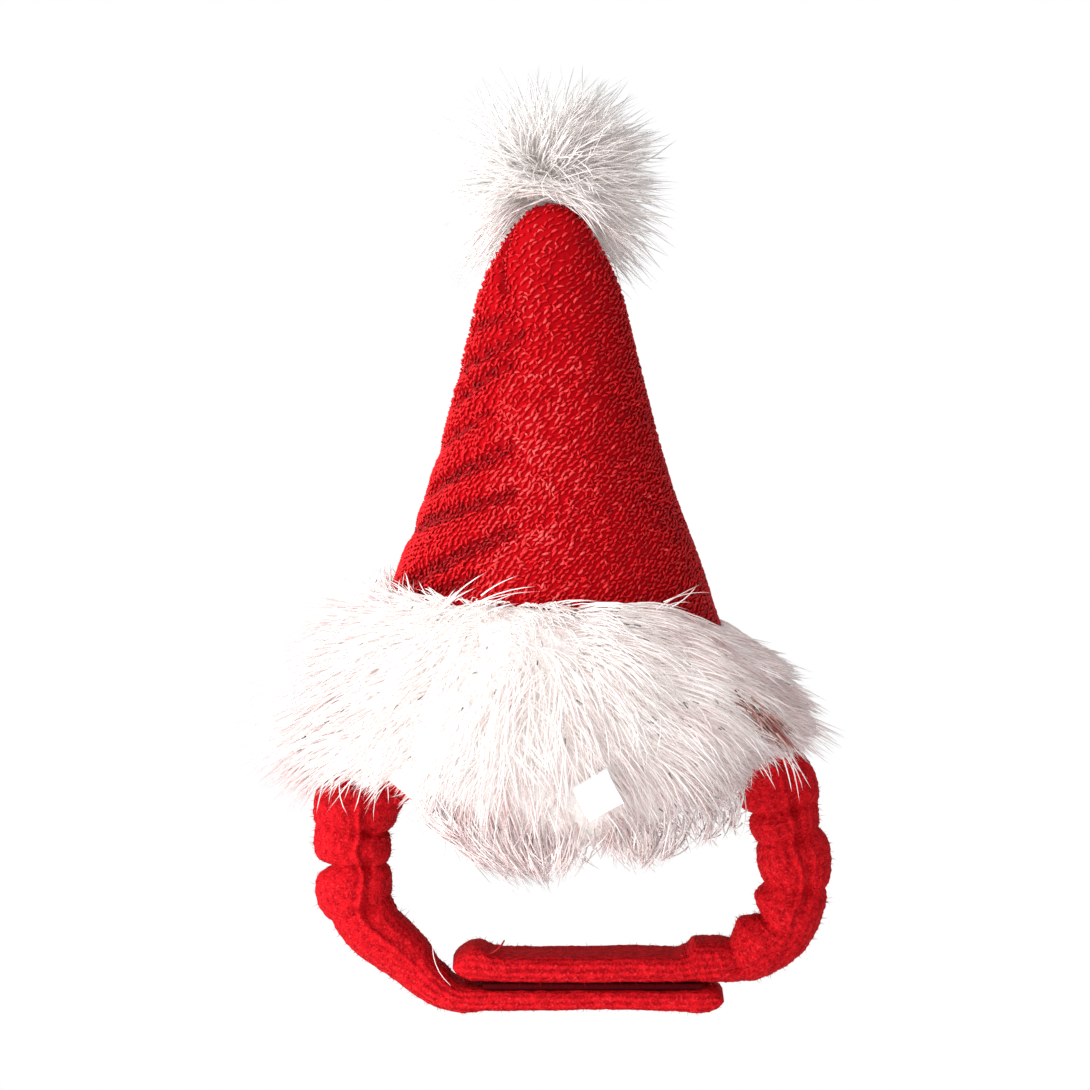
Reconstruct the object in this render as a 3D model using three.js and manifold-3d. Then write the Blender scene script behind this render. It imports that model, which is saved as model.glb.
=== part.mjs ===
// A Santa hat for a small pet: a knitted cone that flares at its lower edge, a deep band of fur round
// that edge, a fur pompom behind the tip, and a gathered chin strap whose two tabs overlap under the
// chin on a hook-and-loop patch.
// Millimetres, +Z up, and the front of the hat faces -Y. The origin is the middle of the head opening.
import * as THREE from "three";
import { mergeVertices } from "three/addons/utils/BufferGeometryUtils.js";
import Module from "manifold-3d";

const wasm = await Module();
wasm.setup();

// Driving dimensions
const CLOTH_WALL = 2.2; // knitted cloth of the crown
const SEAM_GAP = 0.3; // between pieces that are sewn or pressed together
const DEPTH_RATIO = 0.88; // the hat is a little narrower front to back than across
const TIP_LEAN = 6; // the weight of the pompom pulls the tip back
const EAR_LIFT = { left: 15, right: 21 }; // the lower edge rises over the ears
const LIFT_TOP = 58; // height at which that rise has died out
const FOLD_REACH = 4.6; // half the width of a fold in the cone
const TRIM_TOP = 57; // where the fur band is sewn on
const TRIM_SLUMP = 9; // the pile on the right lies lower at its top
const POMPOM = { radius: 33, headRadius: 22, locks: 28, lockThick: 19, right: 1.5, behind: 16, above: 3 };
const STRAP_WIDTH = 22; // front to back
const TAB_THICKNESS = 6.8;
const UPPER_TAB_Z = -46.6; // middle of the right tab
const PATCH = { length: 56, width: 16, thickness: 1.2, middleX: 7 };
const LABEL = { width: 9.5, thickness: 1.2, footX: 12, footHeight: 16, rootGap: 2, tilt: 28 };

const CROWN_SIDES = 32;
const CROWN_ROWS = 32;
const LINING_ROWS = 11;
const STRAP_SIDES = 12;

const HALF_TAB = TAB_THICKNESS / 2;
const LOWER_TAB_Z = UPPER_TAB_Z - TAB_THICKNESS - PATCH.thickness - 2 * SEAM_GAP;

// The cone's outline from the tip to the lower edge
const CROWN_OUTLINE = [
  { height: 167.2, halfWidth: 0 },
  { height: 166.2, halfWidth: 4.4 },
  { height: 163.8, halfWidth: 7.9 },
  { height: 159.6, halfWidth: 11.3 },
  { height: 151.2, halfWidth: 16.0 },
  { height: 142.8, halfWidth: 19.6 },
  { height: 126.0, halfWidth: 23.8 },
  { height: 100.8, halfWidth: 30.2 },
  { height: 84.0, halfWidth: 35.4 },
  { height: 67.2, halfWidth: 41.7 },
  { height: 54.6, halfWidth: 45.6 },
  { height: 30.0, halfWidth: 52.0 },
  { height: 0.0, halfWidth: 58.0 },
];

// Folds pressed into the cone, each a line between two places. Azimuth is in degrees from the front,
// positive towards +X.
const CROWN_FOLDS = [
  { fromAzimuth: -78, fromHeight: 117, toAzimuth: -20, toHeight: 127, depth: 2.0 },
  { fromAzimuth: -80, fromHeight: 105, toAzimuth: -42, toHeight: 116, depth: 1.6 },
  { fromAzimuth: -78, fromHeight: 86, toAzimuth: -22, toHeight: 98, depth: 2.2 },
  { fromAzimuth: -80, fromHeight: 73, toAzimuth: -24, toHeight: 87, depth: 2.0 },
  { fromAzimuth: -78, fromHeight: 60, toAzimuth: -20, toHeight: 75, depth: 2.4 },
  { fromAzimuth: 34, fromHeight: 92, toAzimuth: 82, toHeight: 80, depth: 1.6 },
  { fromAzimuth: 30, fromHeight: 118, toAzimuth: 76, toHeight: 108, depth: 1.4 },
  { fromAzimuth: 120, fromHeight: 98, toAzimuth: 200, toHeight: 106, depth: 1.8 },
  { fromAzimuth: 150, fromHeight: 74, toAzimuth: 236, toHeight: 70, depth: 2.0 },
];

// The dense part of the pile from the seam down to the edge: how far it stands out from the cone.
const TRIM_BODY = [
  { height: 57, out: 2.0 },
  { height: 50, out: 8.0 },
  { height: 36, out: 14.0 },
  { height: 20, out: 16.5 },
  { height: 8, out: 15.0 },
  { height: -2, out: 10.0 },
  { height: -4, out: 5.0 },
];

// Rings of locks that lie over it like thatch. The tip of a lock stands out from the cone by tipOut and
// lies above its root by tipUp; bendOut and bendUp do the same for the bend halfway along. Over the
// straps, at the sides, a lock has atSides of its height.
const TRIM_LOCKS = [
  { height: 48, count: 7, bendOut: 9, bendUp: 9, tipOut: 9, tipUp: 13, atSides: 1, wide: 26, thick: 9 },
  { height: 48, count: 9, bendOut: 15, bendUp: 5, tipOut: 22, tipUp: -13, atSides: 1, wide: 36, thick: 14 },
  { height: 33, count: 10, bendOut: 22, bendUp: 3, tipOut: 25, tipUp: -19, atSides: 1, wide: 38, thick: 15 },
  { height: 17, count: 10, bendOut: 22, bendUp: 2, tipOut: 22, tipUp: -21, atSides: 0.6, wide: 38, thick: 15 },
  { height: 5, count: 10, bendOut: 11, bendUp: -4, tipOut: 11, tipUp: -18, atSides: 0.3, wide: 28, thick: 12 },
];

// The label's fold, from its root out through the pile and down in front of it.
const LABEL_FOLD = [
  { out: 0, up: 0 },
  { out: 15, up: 2 },
  { out: 20.5, up: -1 },
  { out: 22.5, up: -10.5 },
];

// The straps from the end sewn inside the edge to the end of the tab. x and z are the elastic in the
// middle; inner and outer reach from it to the two gathered edges, towards the loop and away from it;
// deep is the share of the strap's width that the gathers leave; corner is 2 for a round section and
// more for a squarer one; groove is how far the middle row of stitches pulls the cloth in.
const LEFT_STRAP = [
  { x: -45.0, z: 42.0, inner: 2.0, outer: 2.0, deep: 0.95, corner: 4, groove: 0 },
  { x: -50.2, z: 24.0, inner: 2.4, outer: 2.2, deep: 0.95, corner: 3.4, groove: 0 },
  { x: -51.2, z: 12.6, inner: 4.6, outer: 3.0, deep: 0.93, corner: 2.8, groove: 0 },
  { x: -53.4, z: 5.5, inner: 8.2, outer: 8.4, deep: 0.9, corner: 2.4, groove: 0.15 },
  { x: -54.6, z: -2.0, inner: 11.6, outer: 12.0, deep: 1, corner: 2.2, groove: 0.3 },
  { x: -55.6, z: -8.0, inner: 9.4, outer: 10.4, deep: 0.8, corner: 2.2, groove: 0.3 },
  { x: -55.8, z: -13.0, inner: 11.2, outer: 10.8, deep: 0.98, corner: 2.2, groove: 0.3 },
  { x: -53.8, z: -18.6, inner: 7.2, outer: 6.8, deep: 0.76, corner: 2.2, groove: 0.3 },
  { x: -55.2, z: -25.2, inner: 10.7, outer: 11.4, deep: 1, corner: 2.2, groove: 0.3 },
  { x: -54.2, z: -31.5, inner: 10.6, outer: 10.4, deep: 0.87, corner: 2.2, groove: 0.25 },
  { x: -49.6, z: -38.2, inner: 8.8, outer: 7.4, deep: 0.98, corner: 2.3, groove: 0.2 },
  { x: -41.2, z: -45.2, inner: 8.0, outer: 6.8, deep: 0.93, corner: 2.5, groove: 0.1 },
  { x: -33.0, z: -51.4, inner: 5.0, outer: 6.2, deep: 0.98, corner: 2.8, groove: 0 },
  { x: -26.0, z: LOWER_TAB_Z, inner: HALF_TAB, outer: 4.6, deep: 1, corner: 3.4, groove: 0 },
  { x: -16.0, z: LOWER_TAB_Z, inner: HALF_TAB, outer: HALF_TAB, deep: 1, corner: 4, groove: 0 },
  { x: 16.0, z: LOWER_TAB_Z, inner: HALF_TAB, outer: HALF_TAB, deep: 1, corner: 4, groove: 0 },
  { x: 41.0, z: LOWER_TAB_Z, inner: HALF_TAB, outer: 3.7, deep: 1, corner: 4, groove: 0 },
  { x: 47.6, z: LOWER_TAB_Z, inner: 2.6, outer: 2.9, deep: 0.87, corner: 3, groove: 0 },
];
const RIGHT_STRAP = [
  { x: 45.4, z: 42.0, inner: 2.0, outer: 2.0, deep: 0.95, corner: 4, groove: 0 },
  { x: 51.2, z: 24.0, inner: 2.4, outer: 2.2, deep: 0.95, corner: 3.4, groove: 0 },
  { x: 53.0, z: 14.6, inner: 4.0, outer: 2.6, deep: 0.93, corner: 2.8, groove: 0 },
  { x: 58.8, z: 8.6, inner: 8.0, outer: 7.2, deep: 0.9, corner: 2.4, groove: 0.2 },
  { x: 63.6, z: 3.4, inner: 11.8, outer: 11.4, deep: 1, corner: 2.2, groove: 0.35 },
  { x: 65.8, z: -2.2, inner: 8.4, outer: 9.2, deep: 0.8, corner: 2.2, groove: 0.35 },
  { x: 65.8, z: -6.2, inner: 10.8, outer: 9.8, deep: 0.96, corner: 2.2, groove: 0.35 },
  { x: 66.8, z: -10.0, inner: 8.0, outer: 8.4, deep: 0.8, corner: 2.2, groove: 0.35 },
  { x: 68.4, z: -16.0, inner: 11.0, outer: 10.6, deep: 1, corner: 2.2, groove: 0.35 },
  { x: 68.6, z: -24.2, inner: 7.4, outer: 8.6, deep: 0.78, corner: 2.2, groove: 0.35 },
  { x: 67.2, z: -28.8, inner: 10.2, outer: 10.2, deep: 0.98, corner: 2.2, groove: 0.3 },
  { x: 64.8, z: -33.8, inner: 7.8, outer: 9.4, deep: 0.82, corner: 2.2, groove: 0.3 },
  { x: 59.6, z: -39.4, inner: 10.0, outer: 9.4, deep: 0.98, corner: 2.3, groove: 0.25 },
  { x: 52.0, z: -43.6, inner: 5.4, outer: 7.0, deep: 0.87, corner: 2.6, groove: 0.2 },
  { x: 43.6, z: UPPER_TAB_Z + 1.2, inner: 5.6, outer: 4.6, deep: 0.98, corner: 3, groove: 0.1 },
  { x: 34.0, z: UPPER_TAB_Z, inner: 3.6, outer: HALF_TAB, deep: 1, corner: 3.6, groove: 0 },
  { x: 4.0, z: UPPER_TAB_Z, inner: HALF_TAB, outer: HALF_TAB, deep: 1, corner: 4, groove: 0 },
  { x: -20.0, z: UPPER_TAB_Z, inner: 3.8, outer: HALF_TAB, deep: 1, corner: 4, groove: 0 },
  { x: -26.0, z: UPPER_TAB_Z + 1.0, inner: 3.0, outer: 2.6, deep: 0.86, corner: 3, groove: 0 },
];

const UP = new THREE.Vector3(0, 0, 1);
const smooth = (t) => t * t * (3 - 2 * t);
const clamp01 = (t) => Math.min(1, Math.max(0, t));

// A closed geometry with its shared vertices merged.
function closed(geometry) {
  const bare = geometry.clone();
  bare.deleteAttribute("normal");
  bare.deleteAttribute("uv");
  return mergeVertices(bare, 1e-4);
}

function toSolid(geometry) {
  const merged = closed(geometry);
  return new wasm.Manifold(
    new wasm.Mesh({
      numProp: 3,
      vertProperties: new Float32Array(merged.attributes.position.array),
      triVerts: new Uint32Array(merged.index.array),
    }),
  );
}

function fromSolid(solid) {
  const { vertProperties, triVerts } = solid.getMesh();
  const geometry = new THREE.BufferGeometry();
  geometry.setAttribute("position", new THREE.BufferAttribute(vertProperties, 3));
  geometry.setIndex(new THREE.BufferAttribute(triVerts, 1));
  geometry.computeVertexNormals();
  return geometry;
}

// The largest body of a solid: tips that a cut has parted from it are dropped.
function mainBody(solid) {
  const bodies = solid.decompose();
  return bodies.reduce((best, body) => (body.volume() > best.volume() ? body : best));
}

// Moves every vertex of a geometry to the place that a function gives for it.
function reshape(geometry, place) {
  const position = geometry.attributes.position;
  const vertex = new THREE.Vector3();
  for (let i = 0; i < position.count; i++) {
    vertex.fromBufferAttribute(position, i);
    position.setXYZ(i, ...place(vertex));
  }
  geometry.computeVertexNormals();
  return geometry;
}

// A closed bar of the given sides and steps. place gives a point for a share of the way along, an angle
// round the section and a reach of 1 on the skin or 0 in the middle of an end.
function bar(sides, steps, place) {
  const cylinder = new THREE.CylinderGeometry(1, 1, 1, sides, steps);
  return reshape(cylinder, (v) => place(0.5 - v.y, Math.atan2(v.z, v.x), Math.hypot(v.x, v.z)));
}

// Crown

const crownCurve = new THREE.CatmullRomCurve3(
  CROWN_OUTLINE.map((row) => new THREE.Vector3(row.halfWidth, 0, row.height)),
  false,
  "centripetal",
);

// How far the folds press the cone in at an azimuth and height.
function foldDepth(azimuth, height, halfWidth) {
  const degrees = THREE.MathUtils.radToDeg(azimuth);
  let depth = 0;
  for (const fold of CROWN_FOLDS) {
    const span = fold.toAzimuth - fold.fromAzimuth;
    const middle = (fold.fromAzimuth + fold.toAzimuth) / 2;
    const fromMiddle = THREE.MathUtils.euclideanModulo(degrees - middle + 180, 360) - 180;
    const share = fromMiddle / span + 0.5;
    const line = THREE.MathUtils.lerp(fold.fromHeight, fold.toHeight, clamp01(share));
    const past = THREE.MathUtils.degToRad((share - clamp01(share)) * span) * halfWidth;
    const away = Math.hypot(height - line, past) / FOLD_REACH;
    depth += fold.depth * Math.exp(-away * away);
  }
  return depth;
}

// A point on or near the cone, at an azimuth from -180 to 180 degrees, in radians.
function crownPoint(azimuth, halfWidth, height, foldShare = 1) {
  const nearAxis = smooth(clamp01(halfWidth / 8));
  const reach = halfWidth - foldShare * nearAxis * foldDepth(azimuth, height, halfWidth);
  const earLift = azimuth > 0 ? EAR_LIFT.right : EAR_LIFT.left;
  const lift = earLift * Math.sin(azimuth) ** 2 * clamp01(1 - height / LIFT_TOP) ** 1.5;
  const lean = TIP_LEAN * clamp01((height - TRIM_TOP) / (CROWN_OUTLINE[0].height - TRIM_TOP)) ** 2;
  return new THREE.Vector3(
    reach * Math.sin(azimuth),
    lean - reach * DEPTH_RATIO * Math.cos(azimuth),
    height + lift,
  );
}

// The outline between two shares of its length, standing out from the cloth by an offset.
function outline(from, to, count, offset) {
  const points = [];
  for (let i = 0; i <= count; i++) {
    const share = THREE.MathUtils.lerp(from, to, i / count);
    const point = crownCurve.getPointAt(share);
    const along = crownCurve.getTangentAt(share);
    const onAxis = share === 0;
    const x = onAxis ? 0 : Math.max(0.4, point.x - along.z * offset);
    const z = onAxis ? point.z + offset : point.z + along.x * offset;
    points.push(new THREE.Vector2(x, z));
  }
  return points;
}

// The share of the outline's length at which it comes down to a height.
function outlineShare(height) {
  let low = 0;
  let high = 1;
  for (let i = 0; i < 30; i++) {
    const middle = (low + high) / 2;
    if (crownCurve.getPointAt(middle).z > height) low = middle;
    else high = middle;
  }
  return low;
}

// How far from the axis the outside of the cone is at a height, also for heights below its edge.
const coneReach = (height) => crownCurve.getPointAt(outlineShare(Math.max(height, 0))).x;

// Turns a profile round the hat's axis, following the cone's folds, lean and lifted edge.
function turned(profile, sides, place = crownPoint) {
  const lathe = new THREE.LatheGeometry(profile, sides);
  return reshape(lathe, (v) => place(Math.atan2(v.x, v.z), Math.hypot(v.x, v.z), v.y));
}

function makeCrown() {
  const outside = outline(0, 1, CROWN_ROWS, 0);
  const inside = outline(0, 1, LINING_ROWS, -CLOTH_WALL);
  return closed(turned([...inside, ...outside.reverse()], CROWN_SIDES));
}

// The cone below a height with no hollow and no folds, grown by the seam gap, for fitting fur round it.
function crownCore(fromHeight, rows) {
  const outside = outline(outlineShare(fromHeight), 1, rows, SEAM_GAP);
  const below = TRIM_BODY.at(-1).height - CLOTH_WALL;
  const floor = [new THREE.Vector2(0, below), new THREE.Vector2(outside.at(-1).x, below)];
  const roof = outside[0].x > 0 ? [new THREE.Vector2(0, outside[0].y)] : [];
  const unfolded = (azimuth, halfWidth, height) => crownPoint(azimuth, halfWidth, height, 0);
  return toSolid(turned([...floor, ...outside.reverse(), ...roof], CROWN_SIDES, unfolded));
}

// Fur

// A lock that swells from its root and tapers to its tip, along a curve.
function makeLock(root, bend, tip, wide, thick, sides, steps) {
  const curve = new THREE.QuadraticBezierCurve3(root, bend, tip);
  return bar(sides, steps, (along, angle, reach) => {
    const ahead = curve.getTangent(along);
    const across = new THREE.Vector3().crossVectors(ahead, UP).normalize();
    const above = new THREE.Vector3().crossVectors(ahead, across);
    const swell = (0.7 + 1.9 * along) * (1 - 0.96 * along ** 1.2) * reach;
    return curve
      .getPoint(along)
      .addScaledVector(across, (wide / 2) * swell * Math.cos(angle))
      .addScaledVector(above, (thick / 2) * swell * Math.sin(angle));
  });
}

// Joins locks to what they grow from and cuts the room that other pieces need.
function joinFur(base, locks, cuts) {
  let fur = base;
  for (const lock of locks) fur = fur.add(toSolid(lock));
  for (const cut of cuts) fur = fur.subtract(cut);
  return fromSolid(mainBody(fur));
}

// A point in the pile, lower at the top of the right side.
function trimPoint(azimuth, halfWidth, height) {
  const onRight = smooth(clamp01(0.2 + 0.8 * Math.sin(azimuth)));
  const lowered = height - TRIM_SLUMP * onRight * clamp01(height / TRIM_TOP);
  return crownPoint(azimuth, halfWidth - coneReach(height) + coneReach(lowered), lowered);
}

// The dense pile with no hollow, which is cut later.
function trimBody() {
  const outside = TRIM_BODY.map((row) => new THREE.Vector2(coneReach(row.height) + row.out, row.height));
  const roof = new THREE.Vector2(0, TRIM_BODY[0].height);
  const floor = new THREE.Vector2(0, TRIM_BODY.at(-1).height);
  return toSolid(turned([floor, ...outside.reverse(), roof], CROWN_SIDES / 2, trimPoint));
}

function trimLock(row, index) {
  const wave = Math.sin(index * 2.4 + row.height);
  const turn = (index + row.height * 0.37) / row.count;
  const azimuth = (THREE.MathUtils.euclideanModulo(turn, 1) - 0.5) * 2 * Math.PI;
  const grown = (1 + 0.1 * wave) * THREE.MathUtils.lerp(1, row.atSides, Math.sin(azimuth) ** 2);
  const place = (out, up) => {
    const point = trimPoint(azimuth, coneReach(row.height) + out, row.height);
    return point.setZ(point.z + up * grown);
  };
  const root = place(0.3 * row.bendOut, 0);
  const bend = place(row.bendOut, row.bendUp);
  const tip = place(row.tipOut, row.tipUp);
  return makeLock(root, bend, tip, row.wide, row.thick, 6, 3);
}

function makeTrim(cuts) {
  const locks = TRIM_LOCKS.flatMap((row) => Array.from({ length: row.count }, (_, i) => trimLock(row, i)));
  return joinFur(trimBody(), locks, cuts);
}

function makePompom(cuts) {
  const crownTip = crownPoint(0, 0, CROWN_OUTLINE[0].height);
  const middle = crownTip.add(new THREE.Vector3(POMPOM.right, POMPOM.behind, POMPOM.above));
  const head = new THREE.SphereGeometry(POMPOM.headRadius, 12, 8).translate(...middle);
  const goldenAngle = Math.PI * (3 - Math.sqrt(5));
  const locks = [];
  for (let i = 0; i < POMPOM.locks; i++) {
    const z = 1 - (2 * i + 1) / POMPOM.locks;
    const flat = Math.sqrt(1 - z * z);
    const way = new THREE.Vector3(flat * Math.cos(i * goldenAngle), flat * Math.sin(i * goldenAngle), z);
    const length = POMPOM.radius * (1 + 0.05 * Math.sin(i * 1.7));
    const at = (share, sag) => middle.clone().addScaledVector(way, length * share).addScaledVector(UP, -sag);
    const tip = at(1, 2 * flat);
    locks.push(makeLock(at(0.4, 0), at(0.75, 0), tip, POMPOM.lockThick, POMPOM.lockThick, 5, 2));
  }
  return joinFur(toSolid(head), locks, cuts);
}

// Chin strap

// A strap swept through its sections, grown by an offset. The sewn end curves with the wall of the hat.
function makeStrap(rows, offset) {
  const spine = new THREE.CatmullRomCurve3(
    rows.map((row) => new THREE.Vector3(row.x, 0, row.z)),
    false,
    "centripetal",
  );
  const spans = rows.length - 1;
  const front = new THREE.Vector3(0, Math.sign(rows[0].x), 0);
  const wallDepth = Math.abs(rows[0].x) * DEPTH_RATIO;
  return bar(STRAP_SIDES, spans * 2, (along, angle, reach) => {
    const index = Math.min(spans - 1, Math.floor(along * spans));
    const blend = smooth(along * spans - index);
    const column = (name) => THREE.MathUtils.lerp(rows[index][name], rows[index + 1][name], blend);
    const ahead = spine.getTangent(along);
    const inward = new THREE.Vector3().crossVectors(front, ahead).normalize();
    const round = (value) => Math.sign(value) * Math.abs(value) ** (2 / column("corner"));
    const across = round(Math.cos(angle));
    const side = (across > 0 ? column("inner") : column("outer")) + offset;
    const pinch = 1 - column("groove") * Math.exp(-((across / 0.35) ** 2));
    const halfDepth = (STRAP_WIDTH / 2) * column("deep") + offset;
    const forward = halfDepth * pinch * round(Math.sin(angle)) * reach;
    const sewn = clamp01(2 - along * spans);
    const curl = Math.abs(rows[0].x) * (1 - Math.sqrt(1 - (forward / wallDepth) ** 2)) * sewn;
    return spine
      .getPoint(along)
      .addScaledVector(inward, across * side * reach + curl)
      .addScaledVector(front, forward);
  });
}

function makePatch() {
  return new THREE.BoxGeometry(PATCH.length, PATCH.width, PATCH.thickness);
}

// A strip as wide as the label along its fold, grown by an offset.
function makeLabel(offset) {
  const half = LABEL.thickness / 2 + offset;
  const face = (sign) =>
    LABEL_FOLD.map((row, i) => {
      const before = LABEL_FOLD[Math.max(0, i - 1)];
      const after = LABEL_FOLD[Math.min(LABEL_FOLD.length - 1, i + 1)];
      const run = new THREE.Vector2(after.out - before.out, after.up - before.up).normalize();
      return new THREE.Vector2(row.out - sign * half * run.y, row.up + sign * half * run.x);
    });
  const strip = new THREE.Shape([...face(1), ...face(-1).reverse()]);
  const width = LABEL.width + 2 * offset;
  return new THREE.ExtrudeGeometry(strip, { depth: width, bevelEnabled: false })
    .translate(0, 0, -width / 2)
    .rotateX(Math.PI / 2)
    .rotateZ(-Math.PI / 2);
}

// Assembly

const redKnit = new THREE.MeshStandardMaterial({ color: 0xc4101a, roughness: 0.9, metalness: 0 });
const redCloth = new THREE.MeshStandardMaterial({ color: 0xc80f1b, roughness: 0.88, metalness: 0 });
const whiteFur = new THREE.MeshStandardMaterial({ color: 0xf3eeec, roughness: 0.8, metalness: 0 });
const darkTape = new THREE.MeshStandardMaterial({ color: 0x5a070b, roughness: 0.9, metalness: 0 });
const whiteTape = new THREE.MeshStandardMaterial({ color: 0xf7f6f5, roughness: 0.7, metalness: 0 });

const hat = new THREE.Group();

function addPiece(name, geometry, material, parent = hat) {
  const mesh = new THREE.Mesh(geometry, material);
  mesh.name = name;
  parent.add(mesh);
  return mesh;
}

// The label is rooted deep in the pile, which is parted round it.
const labelFoot = outline(outlineShare(LABEL.footHeight), 1, 1, LABEL.rootGap)[0];
const labelAzimuth = Math.asin(LABEL.footX / labelFoot.x);
const labelPlace = new THREE.Matrix4()
  .makeTranslation(...crownPoint(labelAzimuth, labelFoot.x, labelFoot.y))
  .multiply(new THREE.Matrix4().makeRotationY(THREE.MathUtils.degToRad(-LABEL.tilt)));

const strapRoom = [LEFT_STRAP, RIGHT_STRAP].map((rows) => toSolid(makeStrap(rows, 0.5)));
const labelRoom = toSolid(makeLabel(0.4).applyMatrix4(labelPlace));
const bandCore = crownCore(TRIM_TOP + 12, 5);
const tipCore = crownCore(CROWN_OUTLINE[0].height, CROWN_ROWS);

addPiece("crown", makeCrown(), redKnit);
addPiece("fur_trim", makeTrim([bandCore, ...strapRoom, labelRoom]), whiteFur);
addPiece("pompom", makePompom([tipCore]), whiteFur);

const strap = new THREE.Group();
addPiece("strap_left", closed(makeStrap(LEFT_STRAP, 0)), redCloth, strap);
addPiece("strap_right", closed(makeStrap(RIGHT_STRAP, 0)), redCloth, strap);
const patch = addPiece("hook_and_loop_patch", makePatch(), darkTape, strap);
patch.position.set(PATCH.middleX, 0, (UPPER_TAB_Z + LOWER_TAB_Z) / 2);
hat.add(strap);

addPiece("label", makeLabel(0).applyMatrix4(labelPlace), whiteTape);

export default hat;
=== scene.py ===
import math
import bpy
import numpy as np
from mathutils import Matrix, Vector


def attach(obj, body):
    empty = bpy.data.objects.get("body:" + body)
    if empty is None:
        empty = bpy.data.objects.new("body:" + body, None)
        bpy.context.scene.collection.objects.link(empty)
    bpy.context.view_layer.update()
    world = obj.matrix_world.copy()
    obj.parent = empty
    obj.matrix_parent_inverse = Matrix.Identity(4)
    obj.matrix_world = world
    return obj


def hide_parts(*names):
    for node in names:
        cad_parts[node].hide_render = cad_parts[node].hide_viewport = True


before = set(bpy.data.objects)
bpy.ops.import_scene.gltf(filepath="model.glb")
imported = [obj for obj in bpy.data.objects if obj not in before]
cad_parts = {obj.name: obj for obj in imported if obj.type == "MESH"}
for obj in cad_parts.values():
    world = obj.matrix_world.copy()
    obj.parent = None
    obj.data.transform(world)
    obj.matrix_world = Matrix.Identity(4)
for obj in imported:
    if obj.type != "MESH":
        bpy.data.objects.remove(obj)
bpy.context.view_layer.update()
print("frame loaded:", ", ".join(sorted(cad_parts)))

mm = 0.001

# Camera, at the photograph's angle
shot = {"aim": (-0.0014, 0.0, 0.0721), "above": 8, "away": 1.7, "frameWide": 0.3052, "seesTo": 40}
shotTilt = math.radians(shot["above"])
bpy.ops.object.camera_add(
    location=(
        shot["aim"][0],
        shot["aim"][1] - shot["away"] * math.cos(shotTilt),
        shot["aim"][2] + shot["away"] * math.sin(shotTilt),
    ),
    rotation=(math.pi / 2 - shotTilt, 0, 0),
)
photoCamera = bpy.context.object
photoCamera.name = "photoCamera"
photoCamera.data.lens = photoCamera.data.sensor_width * shot["away"] / shot["frameWide"]
photoCamera.data.clip_end = shot["seesTo"]
bpy.context.scene.camera = photoCamera
bpy.context.scene.view_settings.view_transform = "Standard"
print("camera set")


# Materials: a wire is one socket, and expressions on wires add Math nodes
class Wire:
    def __init__(self, paint, socket):
        self.paint = paint
        self.socket = socket

    def maths(self, operation, first, second):
        return self.paint.node("ShaderNodeMath", {"operation": operation}, {0: first, 1: second})

    def __add__(self, other):
        return self.maths("ADD", self, other)

    def __radd__(self, other):
        return self.maths("ADD", other, self)

    def __sub__(self, other):
        return self.maths("SUBTRACT", self, other)

    def __rsub__(self, other):
        return self.maths("SUBTRACT", other, self)

    def __mul__(self, other):
        return self.maths("MULTIPLY", self, other)

    def __rmul__(self, other):
        return self.maths("MULTIPLY", other, self)

    def __gt__(self, other):
        return self.maths("GREATER_THAN", self, other)


class Paint:
    def __init__(self, name, **constants):
        self.material = bpy.data.materials.new(name)
        self.material.use_nodes = True
        self.tree = self.material.node_tree
        self.surface = self.tree.nodes["Principled BSDF"]
        for socket, value in constants.items():
            self.surface.inputs[socket.replace("_", " ")].default_value = value

    def node(self, kind, settings=None, sockets=None, out=0):
        made = self.tree.nodes.new(kind)
        for key, value in (settings or {}).items():
            setattr(made, key, value)
        for key, value in (sockets or {}).items():
            self.feed(made.inputs[key], value)
        return Wire(self, made.outputs[out])

    def feed(self, socket, value):
        if isinstance(value, Wire):
            self.tree.links.new(value.socket, socket)
        else:
            socket.default_value = value

    def give(self, name, value):
        self.feed(self.surface.inputs[name], value)

    def place(self):
        return self.node("ShaderNodeTexCoord", out="Object")

    def mark(self, name):
        return self.node("ShaderNodeAttribute", {"attribute_name": name}, out="Vector")

    def part(self, vector, axis):
        return self.node("ShaderNodeSeparateXYZ", None, {0: vector}, axis)

    def noise(self, place, scale, detail=2.0, rough=0.5):
        return self.node("ShaderNodeTexNoise", None, {
            "Vector": place, "Scale": scale, "Detail": detail, "Roughness": rough})

    def mix(self, share, first, second):
        settings = {"data_type": "RGBA", "blend_type": "MIX", "clamp_factor": True}
        return self.node("ShaderNodeMix", settings, {0: share, 6: first, 7: second}, 2)

    def bump(self, height, strength, distance):
        relief = self.node("ShaderNodeBump", None, {
            "Height": height, "Strength": strength, "Distance": distance})
        self.give("Normal", relief)


# Colour, and relief if any, from one grain: its scale, detail and roughness
def grainPaint(name, grain, dark, light, relief=None, **constants):
    paint = Paint(name, **constants)
    height = paint.noise(paint.place(), *grain)
    paint.give("Base Color", paint.mix(height, dark, light))
    if relief:
        paint.bump(height, *relief)
    return paint


# Colour from each strand's own tone
def tonePaint(name, dark, light, **constants):
    paint = Paint(name, **constants)
    paint.give("Base Color", paint.mix(paint.part(paint.mark("strand"), 0), dark, light))
    return paint


# Small tools for numbers
def ease(t):
    t = np.clip(t, 0, 1)
    return t * t * (3 - 2 * t)


def hump(value, middle, spread):
    return np.exp(-((value - middle) / spread) ** 2)


def unit(vectors):
    return vectors / np.maximum(np.linalg.norm(vectors, axis=-1, keepdims=True), 1e-12)


def anyWay(chance, count):
    return unit(chance.normal(0, 1, (count, 3)))


# Points in a box, from the low and the high of each side
def inBox(chance, count, *sides):
    return np.stack([chance.uniform(low, high, count) for low, high in sides], 1)


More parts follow.
